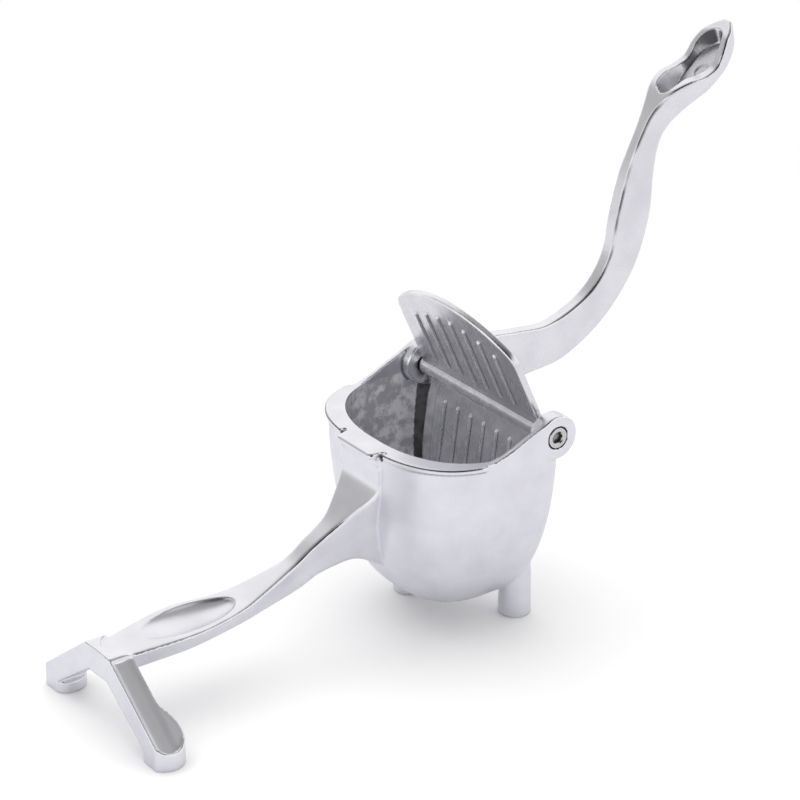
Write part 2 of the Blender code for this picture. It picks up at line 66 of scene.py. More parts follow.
class View(Enum):
    """Planes that an outline can be drawn in, as the matrix that stands it up."""

    PLAN = Matrix.Identity(4)
    SIDE = Matrix(((0, 0, 1, 0), (1, 0, 0, 0), (0, 1, 0, 0), (0, 0, 0, 1)))
    FRONT = Matrix(((1, 0, 0, 0), (0, 0, -1, 0), (0, 1, 0, 0), (0, 0, 0, 1)))
    ALONG_X = Matrix.Rotation(math.radians(90.0), 4, "Y")


class Cut(Enum):
    """What a tool does to the blank that it meets."""

    JOIN = "UNION"
    REMOVE = "DIFFERENCE"
    KEEP_SHARED = "INTERSECT"


def hinge() -> Vector:
    """World place of the lever's hinge axis, in metres."""
    return Vector(frame["joints"][0]["pos_m"])


GROUND = -hinge().z / MM


# ---------------------------------------------------------------- outlines and blanks

def smooth(stations: Sequence[Station], steps: int) -> list[Station]:
    """Stations along a smooth curve.

    Args:
        stations: the points that the curve passes through.
        steps: how many stretches each span is divided into.

    Returns:
        The stations, with the given ones among them.
    """
    padded = (stations[0], *stations, stations[-1])
    result: list[Station] = []
    for before, here, after, beyond in zip(padded, padded[1:], padded[2:], padded[3:]):
        for step in range(steps):
            t = step / steps
            result.append(tuple(
                0.5 * (2 * q + (r - p) * t + (2 * p - 5 * q + 4 * r - s) * t ** 2
                       + (3 * q - p - 3 * r + s) * t ** 3)
                for p, q, r, s in zip(before, here, after, beyond)
            ))
    result.append(tuple(stations[-1]))
    return result


def arc(centre: Point2, radius: float, start: float, end: float, steps: int) -> list[Point2]:
    """Points of an arc from one angle to another, in degrees."""
    angles = [math.radians(start + (end - start) * k / steps) for k in range(steps + 1)]
    return [(centre[0] + radius * math.cos(a), centre[1] + radius * math.sin(a)) for a in angles]


def mirrored(half: Sequence[Point2]) -> list[Point2]:
    """Close a half outline that starts and ends on the middle line."""
    return list(half) + [(-x, y) for x, y in reversed(half) if x > 1e-6]


def add_object(name: str, data: bpy.types.ID) -> bpy.types.Object:
    """Put something in the scene.

    Args:
        name: the object's name.
        data: the mesh, camera or light that it shows.

    Returns:
        The object, at the origin.
    """
    item = bpy.data.objects.new(name, data)
    bpy.context.scene.collection.objects.link(item)
    return item


def place(name: str, bm: bmesh.types.BMesh) -> bpy.types.Object:
    """Make an object of a shape drawn in millimetres about the hinge.

    Args:
        name: the object's name.
        bm: the shape, which is freed.

    Returns:
        The object, at the origin, with its place in its mesh.
    """
    bmesh.ops.recalc_face_normals(bm, faces=bm.faces)
    world = Matrix.Translation(hinge()) @ Matrix.Scale(MM, 4)
    bmesh.ops.transform(bm, matrix=world, verts=bm.verts)
    mesh = bpy.data.meshes.new(name)
    bm.to_mesh(mesh)
    bm.free()
    return add_object(name, mesh)


def loft(name: str, rings: Sequence[Sequence[Sequence[float]]]) -> bpy.types.Object:
    """Closed body bridged through rings that have the same number of points.

    Args:
        name: the object's name.
        rings: the rings, from one end to the other.

    Returns:
        The new object.
    """
    bm = bmesh.new()
    loops = []
    for index, ring in enumerate(rings):
        verts = [bm.verts.new(point) for point in ring]
        loops.append([bm.edges.new((a, b)) for a, b in zip(verts, verts[1:] + verts[:1])])
        if index in (0, len(rings) - 1):
            bmesh.ops.contextual_create(bm, geom=loops[-1])
    for first, second in zip(loops, loops[1:]):
        bmesh.ops.bridge_loops(bm, edges=first + second)
    return place(name, bm)


def slab(name: str, outline: Sequence[Point2], low: float, high: float,
         view: Matrix = View.PLAN.value, bevel: float = 0.0) -> bpy.types.Object:
    """Extruded outline.

    Args:
        name: the object's name.
        outline: its corners in the view's plane.
        low: where the extrusion starts, across that plane.
        high: where it ends.
        view: the matrix that stands the outline up.
        bevel: width of the rounding along both outlines.

    Returns:
        The new object.
    """
    bm = bmesh.new()
    face = bm.faces.new([bm.verts.new((u, v, low)) for u, v in outline])
    grown = bmesh.ops.extrude_face_region(bm, geom=[face])
    top = [item for item in grown["geom"] if isinstance(item, bmesh.types.BMVert)]
    bmesh.ops.translate(bm, vec=(0.0, 0.0, high - low), verts=top)
    if bevel:
        rims = [e for e in bm.edges if abs(e.verts[0].co.z - e.verts[1].co.z) < 1e-6]
        bmesh.ops.bevel(bm, geom=rims, offset=bevel, segments=3, profile=0.5, affect="EDGES",
                        material=-1, clamp_overlap=True)
    bmesh.ops.transform(bm, matrix=view, verts=bm.verts)
    return place(name, bm)


def cushion(name: str, outline: Sequence[Point2], low: float, high: float,
            turn: float) -> bpy.types.Object:
    """Flat body whose outer edges are rounded.

    Args:
        name: the object's name.
        outline: its outline in plan, widest at its middle height.
        low: height of its bottom.
        high: height of its top.
        turn: radius of the rounding.

    Returns:
        The new object.
    """
    rear = max(y for _, y in outline)
    width = max(x for x, _ in outline)
    length = rear - min(y for _, y in outline)
    profile = [(turn * (1.0 - math.sin(math.radians(t))), turn * (1.0 - math.cos(math.radians(t))))
               for t in (0.0, 22.5, 45.0, 67.5, 90.0)]
    levels = [(inset, low + rise) for inset, rise in profile]
    levels += [(inset, high - rise) for inset, rise in reversed(profile)]
    return loft(name, [
        [(x * (1.0 - inset / width), rear + (y - rear) * (1.0 - inset / length), z)
         for x, y in outline]
        for inset, z in levels
    ])


def rod(name: str, radius: float, start: float, end: float, centre: Point2 = (0.0, 0.0),
        sides: int = 64, view: Matrix = View.PLAN.value, end_radius: float | None = None,
        bevel: float = 0.0) -> bpy.types.Object:
    """Round bar or cone.

    Args:
        name: the object's name.
        radius: its radius at the start.
        start: where it starts along its own axis.
        end: where it ends.
        centre: the axis's place across it.
        sides: how many sides stand for the round.
        view: the matrix that turns the bar from Z to its own direction.
        end_radius: its radius at the end, if it is another.
        bevel: width of the rounding at both ends.

    Returns:
        The new object.
    """
    low, high = min(start, end), max(start, end)
    radii = (radius, radius if end_radius is None else end_radius)
    if start > end:
        radii = radii[::-1]
    bm = bmesh.new()
    middle = Matrix.Translation((centre[0], centre[1], 0.5 * (low + high)))
    bmesh.ops.create_cone(bm, cap_ends=True, segments=sides, radius1=radii[0], radius2=radii[1],
                          depth=high - low, matrix=middle)
    if bevel:
        rims = [e for e in bm.edges if abs(e.verts[0].co.z - e.verts[1].co.z) < 1e-6]
        bmesh.ops.bevel(bm, geom=rims, offset=bevel, segments=4, profile=0.5, affect="EDGES",
                        material=-1, clamp_overlap=True)
    bmesh.ops.transform(bm, matrix=view, verts=bm.verts)
    return place(name, bm)


def ball(name: str, centre: Sequence[float], size: Sequence[float]) -> bpy.types.Object:
    """Ellipsoid with the given centre and half sizes.

    Args:
        name: the object's name.
        centre: its centre.
        size: its half sizes along X, Y and Z.

    Returns:
        The new object.
    """
    bm = bmesh.new()
    bmesh.ops.create_uvsphere(bm, u_segments=64, v_segments=32, radius=1.0)
    bmesh.ops.scale(bm, vec=size, verts=bm.verts)
    bmesh.ops.translate(bm, vec=centre, verts=bm.verts)
    return place(name, bm)


def leaning(along: Vector, out: Vector, origin: Vector) -> Matrix:
    """View whose plane holds X and the given direction, and whose depth runs along out."""
    columns = Matrix(((1.0, 0.0, 0.0), along, out)).transposed()
    return Matrix.Translation(origin) @ columns.to_4x4()


def settle(item: bpy.types.Object) -> None:
    """Apply an object's modifiers to its mesh.

    Args:
        item: the object.
    """
    graph = bpy.context.evaluated_depsgraph_get()
    mesh = bpy.data.meshes.new_from_object(item.evaluated_get(graph))
    item.modifiers.clear()
    item.data = mesh


@dataclass(frozen=True)
class Skin:
    """How finely a casting is skinned.

    Attributes:
        grain: size of the skin's cells in mm.
        passes: how many times the skin is relaxed, which rounds its edges.
        triangles: how many triangles the skin is thinned to.
    """

    grain: float
    passes: int
    triangles: int


class Blank:
    """A rough shape that tools are joined to or cut from, before it is skinned as one piece."""

    def __init__(self, first: bpy.types.Object) -> None:
        """Start from one closed shape."""
        self.shape = first
        self.tools: list[bpy.types.Object] = []

    def work(self, tool: bpy.types.Object, cut: Cut) -> "Blank":
        """Join a tool to the blank, or cut it away.

        Args:
            tool: a closed shape.
            cut: what it does.

        Returns:
            The blank itself.
        """
        modifier = self.shape.modifiers.new(tool.name, "BOOLEAN")
        modifier.operation = cut.value
        modifier.solver = "EXACT"
        modifier.object = tool
        self.tools.append(tool)
        return self

    def join(self, *tools: bpy.types.Object) -> "Blank":
        """Join each tool to the blank.

        Args:
            *tools: closed shapes.

        Returns:
            The blank itself.
        """
        for tool in tools:
            self.work(tool, Cut.JOIN)
        return self

    def remove(self, *tools: bpy.types.Object) -> "Blank":
        """Cut each tool away from the blank.

        Args:
            *tools: closed shapes.

        Returns:
            The blank itself.
        """
        for tool in tools:
            self.work(tool, Cut.REMOVE)
        return self

    def solid(self) -> bpy.types.Object:
        """Apply the tools and delete them.

        Returns:
            The worked shape.
        """
        settle(self.shape)
        for tool in self.tools:
            bpy.data.objects.remove(tool)
        self.tools = []
        return self.shape

    def cast(self, name: str, skin: Skin) -> bpy.types.Object:
        """Turn the blank into one skinned piece.

        Args:
            name: the piece's name.
            skin: its fineness.

        Returns:
            The piece, with its modifiers applied and shaded smooth.
        """
        item = self.solid()
        item.name = name
        coarseness = 1
        remesh = item.modifiers.new("skin", "REMESH")
        remesh.mode = "VOXEL"
        remesh.voxel_size = skin.grain * coarseness * MM
        remesh.use_smooth_shade = True
        relax = item.modifiers.new("relax", "SMOOTH")
        relax.factor = 0.5
        relax.iterations = max(1, skin.passes // coarseness)
        settle(item)
        thin = item.modifiers.new("thin", "DECIMATE")
        thin.ratio = min(1.0, skin.triangles / (2 * len(item.data.polygons)))
        settle(item)
        item.data.name = name
        item.data.shade_smooth()
        return item


# ---------------------------------------------------------------- shine along the edges and painted shade in the corners

def spread(values: np.ndarray, edges: np.ndarray, passes: int) -> np.ndarray:
    """Average each point's value with its neighbours' a number of times.

    Args:
        values: one number for each point.
        edges: the two points of each edge.
        passes: how many times.

    Returns:
        The averaged numbers.
    """
    for _ in range(passes):
        total = values.copy()
        count = np.ones(len(values))
        np.add.at(total, edges[:, 0], values[edges[:, 1]])
        np.add.at(total, edges[:, 1], values[edges[:, 0]])
        np.add.at(count, edges.ravel(), 1.0)
        values = total / count
    return values


def store(item: bpy.types.Object, name: str, values: np.ndarray) -> None:
    """Keep one number for each point of a piece, for its material to read."""
    attribute = item.data.attributes.new(name, "FLOAT", "POINT")
    attribute.data.foreach_set("value", np.clip(values, 0.0, 1.0).astype(np.float32))


def vectors_of(item: bpy.types.Object, kind: str) -> np.ndarray:
    """Read a vector at every point of a piece.

    Args:
        item: the piece.
        kind: "co" for the point's place, or "normal" for the surface's direction there.

    Returns:
        One row for each point.
    """
    flat = np.zeros(len(item.data.vertices) * 3)
    item.data.vertices.foreach_get(kind, flat)
    return flat.reshape(-1, 3)


def points_of(item: bpy.types.Object) -> np.ndarray:
    """Every point of a piece in millimetres about the hinge."""
    return (vectors_of(item, "co") - np.array(hinge())) / MM


def normals_of(item: bpy.types.Object) -> np.ndarray:
    """The surface's direction at every point of a piece."""
    return vectors_of(item, "normal")


def bend_of(item: bpy.types.Object, reach: int) -> np.ndarray:
    """How sharply the surface bends at each point.

    Args:
        item: a skinned piece.
        reach: how many cells the answer is averaged over.

    Returns:
        Positive on outer edges, negative in inner corners, near 0 on flat faces.
    """
    points = points_of(item)
    normals = normals_of(item)
    flat = np.zeros(len(item.data.edges) * 2, dtype=np.int64)
    item.data.edges.foreach_get("vertices", flat)
    edges = flat.reshape(-1, 2)
    step = points[edges[:, 1]] - points[edges[:, 0]]
    length = np.maximum(np.linalg.norm(step, axis=1), 1e-6)
    bend = np.zeros(len(points))
    count = np.zeros(len(points))
    np.add.at(bend, edges[:, 0], -np.einsum("ij,ij->i", step, normals[edges[:, 0]]) / length)
    np.add.at(bend, edges[:, 1], np.einsum("ij,ij->i", step, normals[edges[:, 1]]) / length)
    np.add.at(count, edges.ravel(), 1.0)
    return spread(bend / np.maximum(count, 1.0), edges, reach)


def dress_edges(item: bpy.types.Object, reach: int, crevice_shade: np.ndarray, painted_shade: np.ndarray,
                bare: np.ndarray, ridges: np.ndarray) -> None:
    """Store where a piece is polished bright, painted with shade, left rough and worn pale.

    Args:
        item: a skinned piece.
        reach: how many cells the polish spreads from an edge.
        crevice_shade: how strongly painted shade darkens the inner corners, at each point.
        painted_shade: painted shade and painted dark reflection lines on the faces, at each point.
        bare: how rough the casting's skin is, at each point.
        ridges: how pale the outer edges are worn, at each point.
    """
    bend = bend_of(item, reach)
    polished = np.clip((bend - 0.03) / 0.09, 0.0, 1.0)
    store(item, "shine", polished * (1.0 - bare))
    store(item, "pale", np.maximum(bare, polished * ridges))
    # Painted shade darkens the inner corners, more where they bend more sharply.
    corner_painted_shade = np.clip((-bend - 0.02) / 0.08, 0.0, 1.0) * crevice_shade
    store(item, "painted_shade", np.maximum(corner_painted_shade, painted_shade))
    store(item, "bare", bare)


# ---------------------------------------------------------------- metals

def linear(code: str) -> tuple[float, float, float, float]:
    """Turn an sRGB hex colour into linear light, with full alpha.

    Args:
        code: the colour, such as "#ffffff".

    Returns:
        Red, green, blue and alpha.
    """
    parts = [int(code[i:i + 2], 16) / 255.0 for i in (1, 3, 5)]
    light = [c / 12.92 if c <= 0.04045 else ((c + 0.055) / 1.055) ** 2.4 for c in parts]
    return (*light, 1.0)


class Nodes:
    """A node tree that is filled one node at a time."""

    def __init__(self, tree: bpy.types.NodeTree) -> None:
        """Empty the tree."""
        self.tree = tree
        tree.nodes.clear()

    def add(self, kind: str, settings: dict | None = None, **links: object) -> bpy.types.Node:
        """Add a node.

        Args:
            kind: the node's type, without its ShaderNode prefix.
            settings: properties of the node.
            **links: a value or another socket for each input; a name's underscores are spaces
                and a number after "in" picks an input by its place.

        Returns:
            The node.
        """
        node = self.tree.nodes.new("ShaderNode" + kind)
        for key, value in (settings or {}).items():
            setattr(node, key, value)
        for key, value in links.items():
            socket = node.inputs[int(key[2:])] if key[:2] == "in" and key[2:].isdigit() \
                else node.inputs[key.replace("_", " ")]
            if isinstance(value, bpy.types.NodeSocket):
                self.tree.links.new(value, socket)
            else:
                socket.default_value = value
        return node


    def noise(self, here: bpy.types.NodeSocket, size_mm: float, detail: float,
              roughness: float) -> bpy.types.NodeSocket:
        """Add a noise.

        Args:
            here: the place that it is read at.
            size_mm: size of its lumps in mm.
            detail: how many finer layers it has.
            roughness: how strong the finer layers are.

        Returns:
            Its value.
        """
        node = self.add("TexNoise", Vector=here, Scale=1.0 / (size_mm * MM), Detail=detail,
                        Roughness=roughness)
        return node.outputs["Fac"]

    def ramp(self, value: object, low: float, high: float, start: object = 0.0,
             end: object = 1.0, soft: bool = False) -> bpy.types.NodeSocket:
        """Turn one range of numbers into another.

        Args:
            value: the number that comes in.
            low: where the incoming range starts.
            high: where it ends.
            start: what comes out at its start.
            end: what comes out at its end.
            soft: whether the ramp is rounded at both ends.

        Returns:
            The number that comes out.
        """
        kind = "SMOOTHSTEP" if soft else "LINEAR"
        node = self.add("MapRange", {"interpolation_type": kind}, Value=value, From_Min=low,
                        From_Max=high, To_Min=start, To_Max=end)
        return node.outputs["Result"]

    def math(self, operation: str, *values: object) -> bpy.types.NodeSocket:
        """Work out a number from the given ones."""
        inputs = {f"in{index}": value for index, value in enumerate(values)}
        return self.add("Math", {"operation": operation}, **inputs).outputs["Value"]

    def blend(self, share: object, first: object, second: object) -> bpy.types.NodeSocket:
        """Blend one colour into another."""
        return self.add("Mix", {"data_type": "RGBA"}, in0=share, in6=first,
                        in7=second).outputs[2]

    def blend_level(self, share: object, first: object, second: object) -> bpy.types.NodeSocket:
        """Blend one number into another."""
        return self.add("Mix", {"data_type": "FLOAT"}, in0=share, in2=first,
                        in3=second).outputs[0]

    def bump(self, height: object, depth_mm: float, strength: object,
             **under: object) -> bpy.types.NodeSocket:
        """Raise the surface by a height, on top of the bumps under it."""
        return self.add("Bump", Height=height, Distance=depth_mm * MM, Strength=strength,
                        **under).outputs["Normal"]


@dataclass(frozen=True)
class Metal:
    """A metal and the way its surface was made.

    Attributes:
        name: the finish's name.
        colour: its colour as sRGB hex.
        stain: the colour of its duller patches.
        skin: the colour of its rough skin between the scuffs.
        satin: roughness of the brushed faces.
        polish: roughness where the edges are polished.
        brush: direction of the brushing, as how many times finer the lines are along X, Y, Z.
        brush_mm: distance between brush lines in mm.
        lump_mm: size in mm of the casting's soft lumps.
        lump_height: how strongly the lumps show.
        bare_lumps: how strongly they show on unbrushed faces.
        patch_mm: size in mm of the duller patches.
        scuff_mm: size in mm of the scuffs on unbrushed faces.
        grain_mm: size in mm of the grain on unbrushed faces.
    """

    name: str
    colour: str
    stain: str
    skin: str
    satin: float
    polish: float
    brush: tuple[float, float, float]
    brush_mm: float = 0.35
    lump_mm: float = 9.0
    lump_height: float = 0.05
    bare_lumps: float = 0.6
    patch_mm: float = 14.0
    scuff_mm: float = 5.0
    grain_mm: float = 1.3

    def make(self) -> bpy.types.Material:
        """Build the material from what a piece stores at its points.

        Faces are satin, edges polished, bare faces rough and worn ones part oxide, and the colour is
        darkened to near black where painted shade is stored.

        Returns:
            The material.
        """
        material = bpy.data.materials.new(self.name)
        material.use_nodes = True
        nodes = Nodes(material.node_tree)
        here = nodes.add("TexCoord").outputs["Object"]
        shine, bare, painted_shade, pale = (
            nodes.add("Attribute", {"attribute_name": name}).outputs["Fac"]
            for name in ("shine", "bare", "painted_shade", "pale")
        )

        stretch = nodes.add("Mapping", Vector=here, Scale=self.brush)
        lines = nodes.noise(stretch.outputs["Vector"], self.brush_mm, 2.0, 0.6)
        patches = nodes.noise(here, self.patch_mm, 3.0, 0.55)
        lumps = nodes.noise(here, self.lump_mm, 2.0, 0.5)
        grain = nodes.noise(here, self.grain_mm, 3.0, 0.6)
        scuffs = nodes.noise(here, self.scuff_mm, 5.0, 0.62)

        clean = nodes.blend(nodes.ramp(patches, 0.35, 0.7), linear(self.colour), linear(self.stain))
        skin = nodes.blend(nodes.ramp(scuffs, 0.44, 0.6), linear(self.skin), linear(self.colour))
        # Painted shade blends the colour towards near black.
        colour = nodes.blend(painted_shade, nodes.blend(bare, clean, skin), linear("#17171a"))

        brushed = nodes.ramp(lines, 0.3, 0.7, 0.92 * self.satin, 1.08 * self.satin)
        satin = nodes.math("MULTIPLY_ADD", patches, 0.12, brushed)
        rough = nodes.ramp(shine, 0.0, 1.0, satin, self.polish)

        line_strength = nodes.math("MULTIPLY", nodes.math("SUBTRACT", 1.0, bare), 0.012)
        line_bump = nodes.bump(lines, 0.05, line_strength)
        lump_strength = nodes.blend_level(bare, self.lump_height, self.bare_lumps)
        lump_bump = nodes.bump(lumps, 1.2, lump_strength, Normal=line_bump)
        grain_strength = nodes.math("MULTIPLY", bare, 0.35)
        grain_bump = nodes.bump(grain, 0.15, grain_strength, Normal=lump_bump)
        metallic = nodes.math("MULTIPLY_ADD", pale, -0.8, 1.0)
        shader = nodes.add("BsdfPrincipled", Base_Color=colour, Metallic=metallic, Roughness=rough,
                           Normal=grain_bump)
        nodes.add("OutputMaterial", Surface=shader.outputs["BSDF"])
        return material


# Cast aluminium, ground and fine-brushed: a pale, slightly cool satin with bright edges.
CAST = Metal("satin_cast_aluminium", "#f3f3f7", "#ebeaf0", "#bcbcc1", satin=0.25, polish=0.08,
             brush=(1.0, 1.0, 0.08))
# The same alloy where the lever's flanks are brushed along their length.
LEVER_CAST = Metal("satin_lever_aluminium", "#f2f1f5", "#e8e7ec", "#b4b4b9", satin=0.22,
                   polish=0.05, brush=(1.0, 0.08, 0.08))
# Tumbled aluminium: greyer, and even all over.
TUMBLED = Metal("tumbled_plate_aluminium", "#f4f4f7", "#d6d6dc", "#b0b0b6", satin=0.2,
                polish=0.08, brush=(1.0, 0.08, 0.08), bare_lumps=0.1)
# Stainless steel, turned and pressed: warmer and darker than the aluminium.
STAINLESS = Metal("stainless_screw_steel", "#dad9d9", "#cbcaca", "#b0b0b0", satin=0.18,
                  polish=0.08, brush=(1.0, 1.0, 1.0), lump_height=0.0)


# ---------------------------------------------------------------- cup, stand and foot

@dataclass
class BodyCasting:
    """Cup, ears, legs, arm and forked foot, in millimetres about the hinge."""

    half_width: float = 45.6
    front: float = 60.7
    rear: float = 6.0
    corner: float = 12.0
    depth: float = 75.9
    bowl_fall: float = 1.83
    bowl_round: float = 0.29
    bowl_belly: float = 0.048
    cup_roundness: float = 2.5
    cavity_roundness: float = 2.3
    flange_roundness: float = 2.7
    middle: float = 19.6
    side_wall: float = 2.6
    front_wall: float = 7.3
    rear_wall: float = 2.8
    floor_wall: float = 3.0
    cavity_corner: float = 8.0
    rim_drop: float = 2.5
    rear_drop: float = 4.7
    flange_height: float = 2.1
    flange_overhang: float = 1.4
    flange_start: float = 33.0
    lip_half_width: float = 11.8
    lip_reach: float = 3.5
    ear_radius: float = 9.0
    ear_outer: float = 46.0
    ear_inner: float = 39.0
    web_length: float = 21.0
    head_radius: float = 4.55
    head_depth: float = 5.1
    bore_radius: float = 2.8
    leg_radius: float = 6.6
    right_leg: Point2 = (20.8, -0.2)
    left_leg: Point2 = (-18.8, -23.0)
    foot_front: float = 180.6
    crown_height: float = 33.0
    crown_half_width: float = 8.5
    prong_slope: float = 0.76
    prong_thickness: float = 10.1
    crotch_height: float = 22.3
    crotch_half_width: float = 6.5
    pad_radius: float = 7.75
    pad_height: float = 4.0
    pad_spread: float = 35.0
    pad_setback: float = 6.6
    wall_slack: float = 0.6
    # Where shade is painted: in the rim's inner corners, in the channel beside the plate and round the
    # screw seats, and as a dark reflection line along the rim's outer edge.
    rim_shade_low: float = -7.5
    rim_shade_rear: float = -6.0
    channel_side: float = 30.0
    channel_rear: float = -0.4
    channel_lean: float = 0.14
    channel_shade: float = 0.86
    seat_shade: float = 0.93
    rim_line_shade: float = 0.92
    rim_line_tilt: float = 0.6
    rim_line_spread: float = 0.28
    rim_line_low: float = -6.5
    rim_line_rear: float = -36.0
    skin: Skin = Skin(grain=0.43, passes=7, triangles=196000)
    arm: tuple[Station, ...] = (
        (-12.0, 80.0, 14.0, -18.0, 26.0, 5.0),
        (-0.6, 79.0, 13.4, -10.0, 28.7, 4.8),
        (0.2, 68.0, 12.6, -2.7, 33.0, 4.5),
        (7.3, 60.3, 8.3, 3.3, 35.9, 4.0),
        (14.3, 54.3, 5.2, 9.3, 36.6, 3.8),
        (24.3, 48.5, 4.3, 21.8, 34.9, 3.6),
        (34.3, 42.4, 4.3, 31.3, 31.3, 3.6),
        (49.3, 37.3, 7.0, 47.3, 27.5, 3.8),
        (61.3, 34.6, 9.3, 59.3, 24.9, 4.0),
        (81.3, 33.8, 12.7, 79.3, 22.1, 4.0),
        (99.3, 32.6, 10.7, 97.3, 21.8, 4.0),
        (111.0, 31.7, 8.5, 111.0, 21.8, 4.0),
    )

    def draw_in(self, share: float) -> float:
        """Size of the bowl's outline at a share of its depth, against its size at the rim."""
        fall = max(0.0, 1.0 - max(0.0, share) ** self.bowl_fall)
        return fall ** self.bowl_round * (1.0 + self.bowl_belly * max(0.0, share))

    def d_outline(self, half_width: float, front: float, rear: float, corner: float,
                  roundness: float, steps: int = 26) -> list[Point2]:
        """D-shaped outline: flat rear, round corners, straight sides, round front.

        Args:
            half_width: its half width.
            front: how far it reaches in front of the hinge.
            rear: how far it reaches behind.
            corner: radius of its rear corners.
            roundness: how full its round front is; 2 is an ellipse.
            steps: how many stretches each half of the front has.

        Returns:
            The whole outline, in plan.
        """
        half: list[Point2] = [(0.0, rear)]
        half += arc((half_width - corner, rear - corner), corner, 90.0, 0.0, 12)
        for step in range(steps + 1):
            turn = math.radians(90.0 * step / steps)
            across = half_width * math.cos(turn) ** (2.0 / roundness)
            along = (front - self.middle) * math.sin(turn) ** (2.0 / roundness)
            half.append((across if step < steps else 0.0, -self.middle - along))
        return mirrored(half)

    def bowl(self, name: str, outline: Sequence[Point2], depth: float,
             top: float) -> bpy.types.Object:
        """Outline carried straight down from the top, then drawn in to a round floor.

        Args:
            name: the object's name.
            outline: the rim's outline, in plan.
            depth: how deep the bowl is below the hinge.
            top: height that the outline is carried up to.

        Returns:
            The new object.
        """
        steps = 40
        shares = [math.sin(math.radians(88.0 * k / steps)) for k in range(steps + 1)]
        rings = [[(x, y, top) for x, y in outline]]
        for share in shares:
            size = self.draw_in(share)
            rings.append([(x * size, -self.middle + (y + self.middle) * size, -share * depth)
                          for x, y in outline])
        return loft(name, rings)

    def rim_cutter(self) -> bpy.types.Object:
        """Everything above the rim: level in front, rising to the ears, low at the back.

        Returns:
            The tool.
        """
        ear, web = self.ear_radius, self.web_length
        rise = smooth((
            (-ear - web, -self.rim_drop),
            (-ear - 0.76 * web, -0.4 * self.rim_drop),
            (-ear - 0.52 * web, 0.11 * ear),
            (-ear - 0.28 * web, 0.36 * ear),
            (-ear, 0.62 * ear),
            (-0.5 * ear, 0.866 * ear),
            (-0.2 * ear, 0.95 * ear),
        ), 5)
        beyond = self.front + 30.0
        outline = [(-beyond, -self.rim_drop)] + rise
        outline += [(-0.2 * ear, -self.rear_drop), (beyond, -self.rear_drop)]
        outline += [(beyond, 4 * ear), (-beyond, 4 * ear)]
        return slab("rim_cutter", outline, -2 * self.half_width, 2 * self.half_width,
                    View.SIDE.value)

    def flange(self) -> list[bpy.types.Object]:
        """Flange round the front of the rim and the pouring lip in its middle.

        Returns:
            The flange and the lip.
        """
        roundness = self.flange_roundness
        half_width = self.half_width + self.flange_overhang
        outer = self.d_outline(half_width, self.front, self.rear, self.corner, roundness, 24)
        front = [(x, y) for x, y in outer[:len(outer) // 2 + 1] if y < -self.flange_start]
        share = (self.flange_start - self.middle) / (self.front - self.middle)
        across = half_width * (1.0 - share ** roundness) ** (1.0 / roundness)
        half = [(0.0, -self.flange_start), (across, -self.flange_start)]
        half += front + ([] if front[-1][0] < 1e-6 else [(0.0, -self.front)])
        low = -self.rim_drop - self.flange_height
        ring = cushion("flange", mirrored(half), low, -self.rim_drop + 0.03, 0.6)
        lip_front = -self.front - self.lip_reach
        turn = 2.0
        lip_half = [(0.0, -self.middle), (self.lip_half_width, -self.middle)]
        lip_half += arc((self.lip_half_width - turn, lip_front + turn), turn, 0.0, -90.0, 6)
        lip_half.append((0.0, lip_front))
        lip = cushion("lip", mirrored(lip_half), low - 0.7, -self.rim_drop + 0.06, 1.3)
        return [ring, lip]

    def lip_notches(self) -> list[bpy.types.Object]:
        """Small undercuts where the lip leaves the flange at both sides.

        Returns:
            The two tools.
        """
        low = -self.rim_drop - self.flange_height - 0.6
        near, far = self.lip_half_width, self.lip_half_width + 2.2
        outline = ((near, -self.front - 3.0), (far, -self.front - 3.0),
                   (far, -self.front + 3.4), (near, -self.front + 2.4))
        return [slab(f"notch_{side}", [(side * x, y) for x, y in outline], low, 0.0)
                for side in (-1, 1)]

    def arm_ring(self, station: Station) -> list[Vector]:
        """Section of the arm: wide crowned top, sides drawn in to a narrow bottom.

        Args:
            station: reach, height and half width of the top, and the same of the bottom.

        Returns:
            The ring of points.
        """
        top_reach, top_height, top_half, low_reach, low_height, low_half = station
        top = Vector((0.0, -self.front - top_reach, top_height + GROUND))
        low = Vector((0.0, -self.front - low_reach, low_height + GROUND))
        down = (low - top).normalized()
        side = Vector((1.0, 0.0, 0.0))
        edge = 1.1
        half = [
            top + side * 0.5 * top_half,
            top + side * (top_half - edge) + down * 0.1,
            top + side * (top_half - 0.3 * edge) + down * 0.35 * edge,
            top + side * top_half + down * edge,
            top.lerp(low, 0.5) + side * (0.5 * (top_half + low_half) - 0.04 * top_half),
            low + side * low_half - down * edge,
            low + side * (low_half - 0.3 * edge) - down * 0.3 * edge,
            low + side * (low_half - edge),
        ]
        return [top] + half + [Vector((-p.x, p.y, p.z)) for p in reversed(half)]

    def leg(self, name: str, centre: Point2, lean: float, height: float) -> bpy.types.Object:
        """Round leg whose top narrows and leans into the bowl.

        Args:
            name: the object's name.
            centre: the leg's middle, in plan.
            lean: how far its top leans to the front.
            height: how high it stands.

        Returns:
            The new object.
        """
        radius, top, edge = self.leg_radius, self.leg_radius - 0.4, 0.7
        levels = smooth((
            (0.0, radius - edge, 0.0),
            (0.3 * edge, radius - 0.3 * edge, 0.0),
            (edge, radius, 0.0),
            (0.3 * height, 0.5 * (radius + top), 0.0),
            (0.55 * height, top, 0.0),
            (0.75 * height, 0.93 * top, 0.3 * lean),
            (0.9 * height, 0.75 * top, 0.65 * lean),
            (height, 0.45 * top, lean),
        ), 3)
        rings = [[(x, y, GROUND + level) for x, y in
                  arc((centre[0], centre[1] - shift), size, 0.0, 352.5, 47)]
                 for level, size, shift in levels]
        return loft(name, rings)

    def top_height(self, x: float) -> float:
        """Height of the foot's sloping top above the ground."""
        return self.crown_height - max(0.0, x - self.crown_half_width) * self.prong_slope

